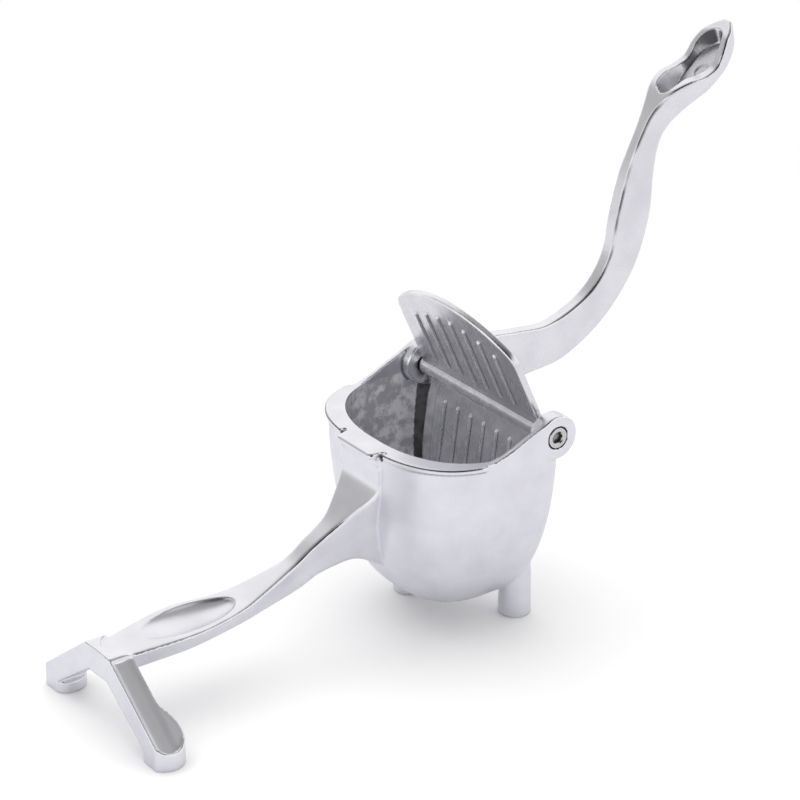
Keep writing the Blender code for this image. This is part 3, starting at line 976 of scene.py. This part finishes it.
    def foot(self) -> bpy.types.Object:
        """Forked foot with round pads and a hollow along each prong.

        Returns:
            The worked shape.
        """
        end = self.pad_spread + self.pad_radius + 1.0
        half = [
            (0.0, self.crown_height + 0.3),
            (self.crown_half_width, self.crown_height),
            (end, self.top_height(end)),
            (end, self.pad_height),
            (self.pad_spread - 0.35 * self.pad_radius, self.pad_height),
            (self.crotch_half_width, self.crotch_height),
            (0.0, self.crotch_height),
        ]
        outline = mirrored([(x, GROUND + z) for x, z in half])
        blank = Blank(slab("foot", outline, self.foot_front - 40.0, self.foot_front + 5.0,
                           View.FRONT.value))
        pad_y = -self.foot_front + self.pad_setback
        turn = math.degrees(math.asin(self.pad_setback / self.pad_radius))
        rear = -self.foot_front + self.prong_thickness
        spread_x, radius = self.pad_spread, self.pad_radius
        bend = smooth((
            (spread_x + radius * math.cos(math.radians(112.0)),
             pad_y + radius * math.sin(math.radians(112.0))),
            (spread_x - 0.78 * radius, rear + 2.3),
            (spread_x - 1.15 * radius, rear + 0.5),
            (spread_x - 1.6 * radius, rear),
        ), 6)
        plan = [(0.0, -self.foot_front)]
        plan += arc((spread_x, pad_y), radius, -turn, 112.0, 40)[:-1] + bend + [(0.0, rear)]
        blank.work(slab("foot_plan", mirrored(plan), GROUND - 5.0, GROUND + 70.0),
                   Cut.KEEP_SHARED)
        for side in (-1, 1):
            pad = [(side * x, y) for x, y in
                   arc((spread_x, pad_y), radius, -turn, 180.0 + turn, 60)]
            blank.join(slab(f"pad_{side}", pad, GROUND, GROUND + self.pad_height + 1.0))
            blank.remove(self.trough(side))
        return blank.remove(self.tongue()).solid()

    def trough(self, side: int) -> bpy.types.Object:
        """Tool that hollows a prong's top behind its thin front edge.

        Args:
            side: 1 for the right prong, -1 for the left one.

        Returns:
            The tool.
        """
        slope = math.atan(self.prong_slope)
        down = Vector((math.cos(slope), 0.0, -math.sin(slope)))
        up = Vector((math.sin(slope), 0.0, math.cos(slope)))
        start = Vector((self.crown_half_width, 0.0, GROUND + self.crown_height))
        columns = Matrix((Vector((0.0, 1.0, 0.0)), up, down)).transposed().to_4x4()
        front = -self.foot_front + 0.9
        back = front + self.prong_thickness + 8.0
        section = [(front, 4.0), (front, -0.7), (front + 0.8, -1.0), (front + 3.0, -1.2),
                   (front + 6.0, -1.0), (front + 9.0, -0.6), (back, -0.5), (back, 4.0)]
        hollow = Blank(slab(f"trough_{side}", section, 1.4, 60.0,
                            Matrix.Translation(start) @ columns))
        pad_y = -self.foot_front + self.pad_setback
        reach = arc((self.pad_spread, pad_y), self.pad_radius - 0.7, -75.0, 60.0, 30)
        beyond = pad_y + 30.0
        plan = [(self.crown_half_width - 3.0, reach[0][1] - 4.0)] + reach
        plan += [(self.pad_spread + 9.0, pad_y + 9.0), (self.pad_spread + 9.0, beyond),
                 (self.crown_half_width - 3.0, beyond)]
        hollow.work(slab(f"trough_plan_{side}", plan, GROUND - 5.0, GROUND + 70.0),
                    Cut.KEEP_SHARED)
        item = hollow.solid()
        if side < 0:
            item.data.transform(Matrix.Scale(-1.0, 4, (1.0, 0.0, 0.0)))
            item.data.flip_normals()
        return item

    def tongue(self) -> bpy.types.Object:
        """Tool that lowers the crown where the arm's round end lies in it.

        Returns:
            The tool.
        """
        radius = 9.6
        centre = (0.0, -self.foot_front + 12.9)
        outline = arc(centre, radius, 180.0, 360.0, 40)
        outline += [(radius, centre[1] + 6.0), (-radius, centre[1] + 6.0)]
        return slab("tongue", outline, GROUND + self.crown_height - 1.1, GROUND + 60.0)

    def thumb_recess(self) -> bpy.types.Object:
        """Tool for the lens-shaped hollow that the thumb rests in."""
        centre = -self.foot_front + 38.1
        return ball("thumb_hollow", (0.0, centre, GROUND + 34.9), (9.8, 23.0, 4.4))

    def inside(self, points: np.ndarray) -> np.ndarray:
        """Find the points that lie on the cavity's wall.

        Args:
            points: places in millimetres about the hinge.

        Returns:
            1 for each point that does, and 0 for the others.
        """
        depth = self.depth - self.floor_wall
        share = np.clip(-points[:, 2] / depth, 0.0, 1.0)
        size = np.maximum(0.0, 1.0 - share ** self.bowl_fall) ** self.bowl_round
        size = np.maximum(size * (1.0 + self.bowl_belly * share), 0.05)
        x = np.abs(points[:, 0]) / size / (self.half_width - self.side_wall + self.wall_slack)
        y = (points[:, 1] + self.middle) / size
        reach = self.front - self.front_wall - self.middle + self.wall_slack
        front = np.clip(-y / reach, 0.0, 2.0)
        within = x ** self.cavity_roundness + front ** self.cavity_roundness < 1.0
        within &= y < self.rear - self.rear_wall + self.middle + self.wall_slack
        low = points[:, 2] > -depth - self.wall_slack
        below_rim = points[:, 2] < -self.rim_drop - 0.7
        return (within & low & below_rim).astype(float)

    def dress(self, piece: bpy.types.Object) -> None:
        """Mark the rough cavity, paint shade into the channel beside the plate, round the screw seats
        and in the rim's inner corners, and paint a dark reflection line along the rim's edge.

        Args:
            piece: the skinned casting.
        """
        points = points_of(piece)
        facing = normals_of(piece)
        across, y, z = np.abs(points[:, 0]), points[:, 1], points[:, 2]
        outward = facing[:, 0] * points[:, 0] + facing[:, 1] * (y + self.middle) > 0.0
        axis_reach = np.hypot(y, z)
        bare = self.inside(points) * ~outward * (axis_reach > self.ear_radius + 0.8)
        # Painted shade in the inner corners along the front of the rim.
        rim = (z > self.rim_shade_low) & (y < self.rim_shade_rear)
        # Painted shade in the deep channel beside the plate.
        channel = bare * (across > self.channel_side) * (y > self.channel_rear + self.channel_lean * z)
        # Painted shade round the screw seats in the ears.
        seat = (across > self.ear_inner) * (axis_reach < self.head_radius + 0.2)
        # A painted dark reflection line along the rounding of the rim's outer edge.
        tilt = (facing[:, 2] - self.rim_line_tilt) / self.rim_line_spread
        rim_line = np.exp(-tilt ** 4) * outward
        rim_line *= (z > self.rim_line_low) & (y < self.rim_line_rear) \
            & (across > self.lip_half_width + 1.0)
        # All the painted shade, which darkens the colour.
        painted_shade = np.maximum.reduce([self.channel_shade * channel, self.seat_shade * seat,
                                  self.rim_line_shade * rim_line])
        dress_edges(piece, 2, 0.9 * rim, painted_shade, bare, 0.0 * bare)

    def build(self, metal: Metal) -> bpy.types.Object:
        """Model and dress the casting.

        Args:
            metal: its finish.

        Returns:
            The finished piece.
        """
        top = 2 * self.ear_radius
        outside = self.d_outline(self.half_width, self.front, self.rear, self.corner,
                                 self.cup_roundness)
        cavity = self.d_outline(self.half_width - self.side_wall, self.front - self.front_wall,
                                self.rear - self.rear_wall, self.cavity_corner,
                                self.cavity_roundness)
        blank = Blank(self.bowl("cup", outside, self.depth, top))
        blank.remove(self.rim_cutter())
        blank.join(*self.flange())
        blank.remove(*self.lip_notches())
        blank.join(self.foot())
        blank.join(loft("arm", [self.arm_ring(s) for s in smooth(self.arm, 8)]))
        blank.join(self.leg("right_leg", self.right_leg, 9.0, -0.46 * GROUND))
        blank.join(self.leg("left_leg", self.left_leg, 0.0, -0.3 * GROUND))
        blank.remove(self.bowl("cavity", cavity, self.depth - self.floor_wall, top + 1.0))
        blank.remove(self.thumb_recess())
        for side in (-1, 1):
            blank.join(rod(f"ear_{side}", self.ear_radius, side * self.ear_inner,
                           side * self.ear_outer, view=View.ALONG_X.value, sides=96, bevel=0.5))
            seat = side * (self.ear_outer - self.head_depth)
            blank.remove(
                rod(f"counterbore_{side}", self.head_radius, seat, side * 60.0,
                    view=View.ALONG_X.value),
                rod(f"bore_{side}", self.bore_radius, side * 30.0, side * 60.0,
                    view=View.ALONG_X.value))
        piece = blank.cast("cup_and_stand", self.skin)
        self.dress(piece)
        return finish_piece(piece, metal, "body", "body_casting")


# ---------------------------------------------------------------- lever and flap

@dataclass
class PressLever:
    """Lever bar with its hollowed handle, the barrel and the ribbed flap, in millimetres."""

    barrel_radius: float = 4.0
    barrel_half: float = 38.5
    thread_radius: float = 2.8
    thread_depth: float = 9.0
    flap_lean: float = 66.0
    flap_length: float = 50.5
    flap_thickness: float = 3.0
    flap_face: float = 1.4
    flap_half_width: float = 37.7
    flap_tip_radius: float = 58.0
    flap_corner: float = 9.0
    rib_spacing: float = 8.4
    rib_count: int = 7
    rib_start: float = 9.0
    rib_margin: float = 9.5
    rib_radius: float = 0.95
    skin: Skin = Skin(grain=0.34, passes=3, triangles=185000)
    bar: tuple[Station, ...] = (
        (-10.0, 27.0, -1.0, 1.0, 2.8, 3.0),
        (3.0, 26.6, 9.0, 2.6, 2.8, 3.2),
        (14.0, 25.2, 18.0, 5.2, 2.8, 3.4),
        (31.0, 24.4, 37.0, 7.8, 2.9, 3.5),
        (49.0, 32.4, 57.0, 19.4, 3.1, 3.5),
        (59.0, 45.3, 72.0, 37.4, 3.1, 3.5),
        (62.5, 61.9, 79.3, 58.0, 3.1, 3.5),
        (67.5, 79.6, 80.8, 76.5, 3.0, 3.5),
        (74.1, 93.8, 83.2, 89.0, 2.7, 3.7),
        (79.0, 102.9, 88.2, 95.4, 3.8, 3.8),
        (85.0, 110.0, 95.5, 99.8, 7.3, 3.8),
        (92.0, 113.4, 102.0, 102.6, 9.6, 3.8),
        (99.5, 114.6, 107.5, 105.0, 10.6, 3.8),
        (105.0, 117.2, 112.5, 108.6, 10.4, 3.8),
        (108.4, 122.4, 116.6, 112.6, 9.7, 3.8),
        (111.6, 126.6, 119.4, 117.4, 8.2, 3.6),
        (115.2, 129.2, 120.69, 122.0, 6.0, 3.2),
        (118.6, 131.5, 120.2, 127.4, 2.4, 2.2),
    )
    pocket_floor: Point2 = (98.8, 109.2)
    pocket_rise: float = 38.9
    pocket_draft: float = 0.68
    pocket: tuple[Station, ...] = (
        (1.0, -12.0, 9.2), (-2.8, -10.0, 9.1), (-4.8, -6.9, 8.7), (-6.2, -1.6, 6.6),
        (-6.8, 4.4, 3.4), (-6.8, 8.0, 2.6), (-7.0, 11.8, 2.9), (-6.6, 17.0, 4.8),
        (-4.8, 20.9, 5.6), (-1.4, 23.9, 5.4), (2.4, 23.6, 5.5), (5.0, 20.2, 5.5),
        (6.2, 15.8, 4.4), (6.5, 11.0, 2.7), (6.4, 8.4, 2.5), (5.5, 4.9, 3.2),
        (5.0, -0.6, 6.2), (5.1, -4.8, 8.1), (4.9, -8.2, 9.0), (3.5, -11.0, 9.2),
    )
    mark_at: Point2 = (2.2, 6.8)
    mark_radius: float = 3.3
    # The worn ribbed face near the hinge, which also gets painted shade in its corners, and the
    # painted dark reflection line along the bar's edges.
    worn_and_shaded_top: float = 48.0
    worn_and_shaded_rear: float = 4.0
    hub_radius: float = 6.0
    edge_tilt: float = 0.66
    edge_spread: float = 0.3
    edge_shade: float = 0.88
    edge_start: float = 12.0

    def bar_ring(self, station: Station) -> list[Vector]:
        """Section of the bar with its rounded edges.

        Args:
            station: Y and Z of the inner side, Y and Z of the outer one, and their half widths.

        Returns:
            The ring of points.
        """
        inner_y, inner_z, outer_y, outer_z, inner_half, outer_half = station
        inner = Vector((0.0, inner_y, inner_z))
        outer = Vector((0.0, outer_y, outer_z))
        across = (outer - inner).normalized()
        side = Vector((1.0, 0.0, 0.0))
        edge, turn = 1.0, 1.9
        half = [
            inner + side * (inner_half - edge),
            inner + side * (inner_half - 0.3 * edge) + across * 0.3 * edge,
            inner + side * inner_half + across * edge,
            inner.lerp(outer, 0.5) + side * 0.5 * (inner_half + outer_half),
            outer + side * outer_half - across * turn,
            outer + side * (outer_half - 0.12 * turn) - across * 0.6 * turn,
            outer + side * (outer_half - 0.4 * turn) - across * 0.22 * turn,
            outer + side * (outer_half - turn),
        ]
        return [inner] + half + [outer] + [Vector((-p.x, p.y, p.z)) for p in reversed(half)]

    def pocket_view(self) -> Matrix:
        """View of the pocket's flat floor, with its depth running up out of it."""
        rise = math.radians(self.pocket_rise)
        along = Vector((0.0, math.cos(rise), math.sin(rise)))
        out = Vector((0.0, -math.sin(rise), math.cos(rise)))
        return leaning(along, out, Vector((0.0, *self.pocket_floor)))

    def pocket_tools(self) -> tuple[bpy.types.Object, bpy.types.Object]:
        """Tools for the handle's leaf-shaped pocket and the round ejector mark in its floor.

        Returns:
            The pocket's tool and the mark's.
        """
        view = self.pocket_view()
        edge = smooth(self.pocket + self.pocket[:1], 5)[:-1]
        middle = sum(point[1] for point in edge) / len(edge)
        rings = []
        for share in (0.0, 1.0, 1.3):
            size = self.pocket_draft + (1.0 - self.pocket_draft) * share
            along = 0.5 + 0.5 * size
            rings.append([view @ Vector((x * size, middle + (r - middle) * along, h * share))
                          for x, r, h in edge])
        rings.append([view @ Vector((*(view.inverted() @ point).xy, 20.0))
                      for point in rings[-1]])
        mark = rod("mark", self.mark_radius, -0.35, 1.0, self.mark_at, view=view)
        return loft("pocket", rings), mark

    def flap_outline(self) -> list[Point2]:
        """Flap's outline: straight sides, rounded corners and a shallow round tip.

        Returns:
            The whole outline, from the hinge down.
        """
        tip_centre = self.flap_length - self.flap_tip_radius
        corner_x = self.flap_half_width - self.flap_corner
        reach = self.flap_tip_radius - self.flap_corner
        corner_r = tip_centre + math.sqrt(reach ** 2 - corner_x ** 2)
        meet = math.degrees(math.atan2(corner_r - tip_centre, corner_x))
        half = [(0.0, 0.0), (self.flap_half_width, 0.0)]
        half += arc((corner_x, corner_r), self.flap_corner, 0.0, meet, 14)
        half += arc((0.0, tip_centre), self.flap_tip_radius, meet, 90.0, 22)[1:-1]
        half.append((0.0, self.flap_length))
        return mirrored(half)

    def flap_axes(self) -> tuple[Vector, Vector]:
        """Directions along the flap from the hinge and out of its ribbed face."""
        lean = math.radians(self.flap_lean)
        return (Vector((0.0, -math.cos(lean), math.sin(lean))),
                Vector((0.0, -math.sin(lean), -math.cos(lean))))

    def dress(self, piece: bpy.types.Object) -> None:
        """Mark the worn ribbed face and the dull hub with painted shade in their corners, and a broken
        painted dark reflection line along the bar's edges.

        Args:
            piece: the skinned lever.
        """
        along, out = self.flap_axes()
        points = points_of(piece)
        facing = normals_of(piece)
        y, z = points[:, 1], points[:, 2]
        face = (points @ np.array(out) > 0.9) & (points @ np.array(along) > 4.0)
        near = face & (z < self.worn_and_shaded_top) & (y < self.worn_and_shaded_rear)
        hub = np.hypot(y, z) < self.hub_radius
        # Where the painted dark reflection line along the bar's edges breaks off.
        line_breaks = np.clip(0.7 + 0.5 * np.sin(0.21 * z) + 0.3 * np.sin(0.57 * z), 0.0, 1.0)
        tilt = (np.abs(facing[:, 0]) - self.edge_tilt) / self.edge_spread
        edge_line = np.exp(-tilt ** 4) * line_breaks
        edge_line *= (y > self.edge_start) & (facing[:, 1] < -0.2)
        # Painted shade in the inner corners of the hub and the ribbed face.
        dress_edges(piece, 2, 0.9 * np.maximum(hub, near), self.edge_shade * edge_line,
                    np.maximum(0.12 * near, 0.2 * hub), near.astype(float))

    def build(self, metal: Metal) -> bpy.types.Object:
        """Model and dress the lever.

        Args:
            metal: its finish.

        Returns:
            The finished piece.
        """
        blank = Blank(rod("barrel", self.barrel_radius, -self.barrel_half, self.barrel_half,
                          view=View.ALONG_X.value))
        along, out = self.flap_axes()
        view = leaning(along, out, out * self.flap_face)
        blank.join(slab("flap", self.flap_outline(), -self.flap_thickness, 0.0, view, bevel=0.7))
        for index, x in enumerate(rib_places(self.rib_count, self.rib_spacing)):
            edge = math.sqrt(self.flap_tip_radius ** 2 - x ** 2)
            edge += self.flap_length - self.flap_tip_radius
            blank.join(bead(f"rib_{index}", self.rib_radius, x, self.rib_start,
                            edge - self.rib_margin, view, -0.05))
        blank.join(loft("bar", [self.bar_ring(s) for s in smooth(self.bar, 8)]))
        heel = [(-1.0, 0.0), (1.0, -4.4), (7.0, -4.4), (10.0, 2.0), (4.0, 12.0)]
        blank.join(slab("heel", heel, -3.2, 3.2, View.SIDE.value))
        blank.remove(*self.pocket_tools())
        for side in (-1, 1):
            blank.remove(rod(f"thread_{side}", self.thread_radius,
                             side * (self.barrel_half - self.thread_depth), side * 60.0,
                             view=View.ALONG_X.value))
        piece = blank.cast("lever_and_flap", self.skin)
        self.dress(piece)
        return finish_piece(piece, metal, "lever", "press_lever")


def rib_places(count: int, spacing: float) -> list[float]:
    """Evenly spaced places about the middle line."""
    return [(index - 0.5 * (count - 1)) * spacing for index in range(count)]


def bead(name: str, radius: float, x: float, start: float, end: float, view: Matrix,
         sink: float) -> bpy.types.Object:
    """Raised round rib with round ends, half sunk in the face it stands on.

    Args:
        name: the object's name.
        radius: its radius.
        x: its place across the face.
        start: where it starts along the face.
        end: where it ends.
        view: the matrix that stands the face up.
        sink: how far its axis lies from the face.

    Returns:
        The new object.
    """
    bm = bmesh.new()
    bmesh.ops.create_uvsphere(bm, u_segments=24, v_segments=13, radius=radius)
    bmesh.ops.rotate(bm, matrix=Matrix.Rotation(math.radians(90.0), 3, "X"), verts=bm.verts)
    for cap, reach in ((1.0, end - radius), (-1.0, start + radius)):
        half = [vert for vert in bm.verts if vert.co.y * cap > 0.0]
        bmesh.ops.translate(bm, vec=(0.0, reach, 0.0), verts=half)
    bmesh.ops.translate(bm, vec=(x, 0.0, sink), verts=bm.verts)
    bmesh.ops.transform(bm, matrix=view, verts=bm.verts)
    return place(name, bm)


# ---------------------------------------------------------------- back plate and screws

@dataclass
class BackPlate:
    """Ribbed insert behind the flap, in millimetres."""

    lean: float = 8.0
    setback: float = 1.0
    thickness: float = 2.5
    step: float = 0.7
    margin: float = 6.0
    length: float = 64.0
    rib_start: float = 11.0
    rib_end: float = 52.0
    rib_spacing: float = 8.4
    rib_count: int = 7
    rib_radius: float = 0.95
    skin: Skin = Skin(grain=0.28, passes=2, triangles=120000)

    def axes(self) -> tuple[Vector, Vector]:
        """Directions down the plate's face and back through its thickness."""
        lean = math.radians(self.lean)
        return (Vector((0.0, -math.sin(lean), -math.cos(lean))),
                Vector((0.0, math.cos(lean), -math.sin(lean))))

    def half_widths(self) -> list[Point2]:
        """Read the plate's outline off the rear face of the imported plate.

        Returns:
            The half width and the reach below the top, from the top down.
        """
        down, back = self.axes()
        origin = Vector((0.0, self.setback, 0.0))
        reaches: dict[float, float] = {}
        for vert in frame["nodes"]["back_plate"].data.vertices:
            point = (vert.co - hinge()) / MM
            if (point - origin).dot(back) > self.thickness - 0.1:
                reach = round((point - origin).dot(down), 2)
                reaches[reach] = max(reaches.get(reach, 0.0), abs(point.x))
        return [(reaches[reach], reach) for reach in sorted(reaches) if reaches[reach] > 2.1]

    def build(self, metal: Metal) -> bpy.types.Object:
        """Model and dress the plate.

        Args:
            metal: its finish.

        Returns:
            The finished piece.
        """
        down, back = self.axes()
        view = leaning(down, back, Vector((0.0, self.setback, 0.0)))
        edge = self.half_widths()
        outer = mirrored([(0.0, edge[0][1])] + edge + [(0.0, self.length)])
        panel = [(x - self.margin, r) for x, r in edge if r < self.length - self.margin]
        inner = mirrored([(0.0, edge[0][1])] + panel + [(0.0, self.length - self.margin)])
        blank = Blank(slab("plate", outer, self.step, self.thickness, view))
        blank.join(slab("panel", inner, 0.0, self.step + 0.5, view, bevel=0.3))
        for index, x in enumerate(rib_places(self.rib_count, self.rib_spacing)):
            blank.join(bead(f"bead_{index}", self.rib_radius, x, self.rib_start, self.rib_end,
                            view, 0.05))
        piece = blank.cast("ribbed_back_plate", self.skin)
        every = np.ones(len(piece.data.vertices))
        # Painted shade in every inner corner of the plate.
        dress_edges(piece, 2, 0.9 * every, 0.0 * every, 0.22 * every, every)
        return finish_piece(piece, metal, "body", "back_plate")


@dataclass
class PivotScrew:
    """Socket head cap screw through an ear into the barrel, in millimetres."""

    side: int
    name: str
    node: str
    head_radius: float = 4.25
    head_height: float = 4.8
    shank_radius: float = 2.5
    length: float = 12.0
    across_flats: float = 4.2
    socket_depth: float = 2.6
    ear_outer: float = 46.0

    def build(self, metal: Metal) -> bpy.types.Object:
        """Model and dress the screw.

        Args:
            metal: its finish.

        Returns:
            The finished piece.
        """
        face = self.side * self.ear_outer
        under = self.side * (self.ear_outer - self.head_height)
        blank = Blank(rod(self.name, self.head_radius, under, face, view=View.ALONG_X.value,
                          sides=96, bevel=0.45))
        blank.join(rod("shank", self.shank_radius, under - self.side * self.length,
                       under + self.side, view=View.ALONG_X.value))
        corner = self.across_flats / math.sqrt(3.0)
        socket_floor = face - self.side * self.socket_depth
        blank.remove(
            rod("socket", corner, socket_floor, face + self.side, sides=6,
                view=View.ALONG_X.value),
            rod("lead_in", corner - 0.1, face - self.side * 0.5, face + self.side * 0.05,
                end_radius=corner + 0.45, view=View.ALONG_X.value),
            rod("drill_point", 0.05, socket_floor - self.side * 0.9, socket_floor + self.side * 0.1,
                end_radius=0.44 * self.across_flats, view=View.ALONG_X.value))
        piece = blank.cast(self.name, Skin(grain=0.16, passes=1, triangles=40000))
        every = np.ones(len(piece.data.vertices))
        points = points_of(piece)
        # Painted shade down in the hex socket, and in the inner corners.
        socket = (np.hypot(points[:, 1], points[:, 2]) < corner) \
            * (np.abs(points[:, 0]) < self.ear_outer - 0.6)
        dress_edges(piece, 1, 0.7 * every, 0.55 * socket, 0.0 * every, 0.0 * every)
        return finish_piece(piece, metal, "lever", self.node)


def trim(piece: bpy.types.Object, node: str) -> None:
    """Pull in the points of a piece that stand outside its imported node's box."""
    low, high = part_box(node)
    for vert in piece.data.vertices:
        vert.co = [min(max(c, a), b) for c, a, b in zip(vert.co, low, high)]


def finish_piece(piece: bpy.types.Object, metal: Metal, body: str,
                 node: str) -> bpy.types.Object:
    """Dress a piece and tie it to the construction.

    Args:
        piece: the piece.
        metal: its finish.
        body: the moving body that it rides on.
        node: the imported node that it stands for.

    Returns:
        The piece.
    """
    trim(piece, node)
    piece.data.materials.clear()
    piece.data.materials.append(metal.make())
    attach(piece, body)
    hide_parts(node)
    return piece


# ---------------------------------------------------------------- studio

@dataclass(frozen=True)
class Patch:
    """A round patch of the surroundings that is darker than the rest.

    Attributes:
        azimuth: where it is round the object, in degrees.
        elevation: how high it is, in degrees.
        rim: cosine of the angle from its middle to its outer rim.
        core: cosine of the angle within which it is at its darkest.
        level: its brightness there.
    """

    azimuth: float
    elevation: float
    rim: float
    core: float
    level: float


@dataclass
class Studio:
    """Pale floor, soft light and the camera."""

    azimuth: float = 53.89
    elevation: float = 25.47
    distance: float = 1249.37
    target: tuple[float, float, float] = (0.0, -41.43, 96.66)
    lens_mm: float = 146.25
    sensor_mm: float = 36.0
    floor_half_size: float = 6.0
    fade_start: float = 0.22
    fade_end: float = 0.55
    lamp_size: float = 1.6
    lamp_power: float = 9.0
    lamp_distance: float = 1.5
    patches: tuple[Patch, ...] = (
        Patch(0.0, 90.0, rim=0.80, core=0.93, level=0.35),
        Patch(159.0, 55.0, rim=0.92, core=0.975, level=0.36),
        Patch(-34.0, 50.0, rim=0.927, core=0.97, level=0.04),
        Patch(-52.0, 27.0, rim=0.78, core=0.99, level=0.5),
        Patch(58.0, 47.0, rim=0.78, core=0.92, level=0.03),
    )

    def direction(self, azimuth: float, elevation: float) -> Vector:
        """Unit vector towards a place round the object, in degrees."""
        a, e = math.radians(azimuth), math.radians(elevation)
        return Vector((math.sin(a) * math.cos(e), -math.cos(a) * math.cos(e), math.sin(e)))

    def camera(self) -> None:
        """Camera at its place, with a long lens."""
        data = bpy.data.cameras.new("camera")
        data.lens = self.lens_mm
        data.sensor_width = self.sensor_mm
        item = add_object("camera", data)
        x, y, z = self.target
        target = Vector((x * MM, y * MM + hinge().y, z * MM))
        back = self.direction(self.azimuth, self.elevation)
        item.location = target + back * self.distance * MM
        item.rotation_euler = (-back).to_track_quat("-Z", "Y").to_euler()
        bpy.context.scene.camera = item

    def floor(self) -> None:
        """Wide floor that keeps the press's shadow and fades out of the camera's sight far away."""
        bm = bmesh.new()
        bmesh.ops.create_grid(bm, x_segments=1, y_segments=1, size=self.floor_half_size)
        mesh = bpy.data.meshes.new("floor")
        bm.to_mesh(mesh)
        bm.free()
        item = add_object("floor", mesh)
        material = bpy.data.materials.new("pale_floor")
        material.use_nodes = True
        nodes = Nodes(material.node_tree)
        seen = nodes.add("LightPath").outputs["Is Camera Ray"]
        pale = nodes.blend(seen, linear("#d7d7da"), linear("#f2f2f2"))
        shader = nodes.add("BsdfPrincipled", Base_Color=pale, Roughness=0.8, Specular_IOR_Level=0.0)
        here = nodes.add("TexCoord").outputs["Object"]
        away = nodes.add("VectorMath", {"operation": "LENGTH"}, in0=here).outputs["Value"]
        far = nodes.ramp(away, self.fade_start, self.fade_end, soft=True)
        clear = nodes.add("BsdfTransparent")
        ground = nodes.add("MixShader", in0=nodes.math("MULTIPLY", far, seen),
                           in1=shader.outputs["BSDF"], in2=clear.outputs["BSDF"])
        nodes.add("OutputMaterial", Surface=ground.outputs["Shader"])
        item.data.materials.append(material)

    def world(self) -> None:
        """White surroundings, whose darker patches only show in reflections."""
        world = bpy.data.worlds.new("studio")
        bpy.context.scene.world = world
        world.use_nodes = True
        nodes = Nodes(world.node_tree)
        look = nodes.add("TexCoord").outputs["Generated"]
        level: object = 1.0
        for patch in self.patches:
            centre = tuple(self.direction(patch.azimuth, patch.elevation))
            facing = nodes.add("VectorMath", {"operation": "DOT_PRODUCT"}, in0=look, in1=centre)
            share = nodes.ramp(facing.outputs["Value"], patch.rim, patch.core, soft=True)
            level = nodes.blend_level(share, level, patch.level)
        path = nodes.add("LightPath")
        plain = nodes.math("MAXIMUM", path.outputs["Is Camera Ray"], path.outputs["Is Diffuse Ray"])
        light = nodes.add("Background", Color=(1.0, 1.0, 1.0, 1.0),
                          Strength=nodes.blend_level(plain, level, 1.0))
        nodes.add("OutputWorld", Surface=light.outputs["Background"])

    def lamp(self) -> None:
        """Wide soft lamp overhead, which doesn't show in reflections."""
        data = bpy.data.lights.new("overhead_light", "AREA")
        data.size = self.lamp_size
        data.energy = self.lamp_power
        item = add_object("overhead_light", data)
        back = self.direction(-60.0, 74.0)
        item.location = back * self.lamp_distance
        item.rotation_euler = (-back).to_track_quat("-Z", "Y").to_euler()
        item.visible_glossy = False

    def build(self) -> None:
        """Set up the whole studio."""
        bpy.context.scene.view_settings.view_transform = "Standard"
        self.camera()
        self.floor()
        self.world()
        self.lamp()


def main() -> None:
    logging.basicConfig(level=logging.INFO, format="%(name)s: %(message)s")
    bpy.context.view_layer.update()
    Studio().build()
    pieces = [BodyCasting().build(CAST), PressLever().build(LEVER_CAST),
              BackPlate().build(TUMBLED)]
    for side, name in ((-1, "left"), (1, "right")):
        screw = PivotScrew(side, f"{name}_pivot_screw", f"pivot_screw_{name}")
        pieces.append(screw.build(STAINLESS))
    for piece in pieces:
        LOG.info("%s: %d faces", piece.name, len(piece.data.polygons))


if __name__ == "__main__":
    main()
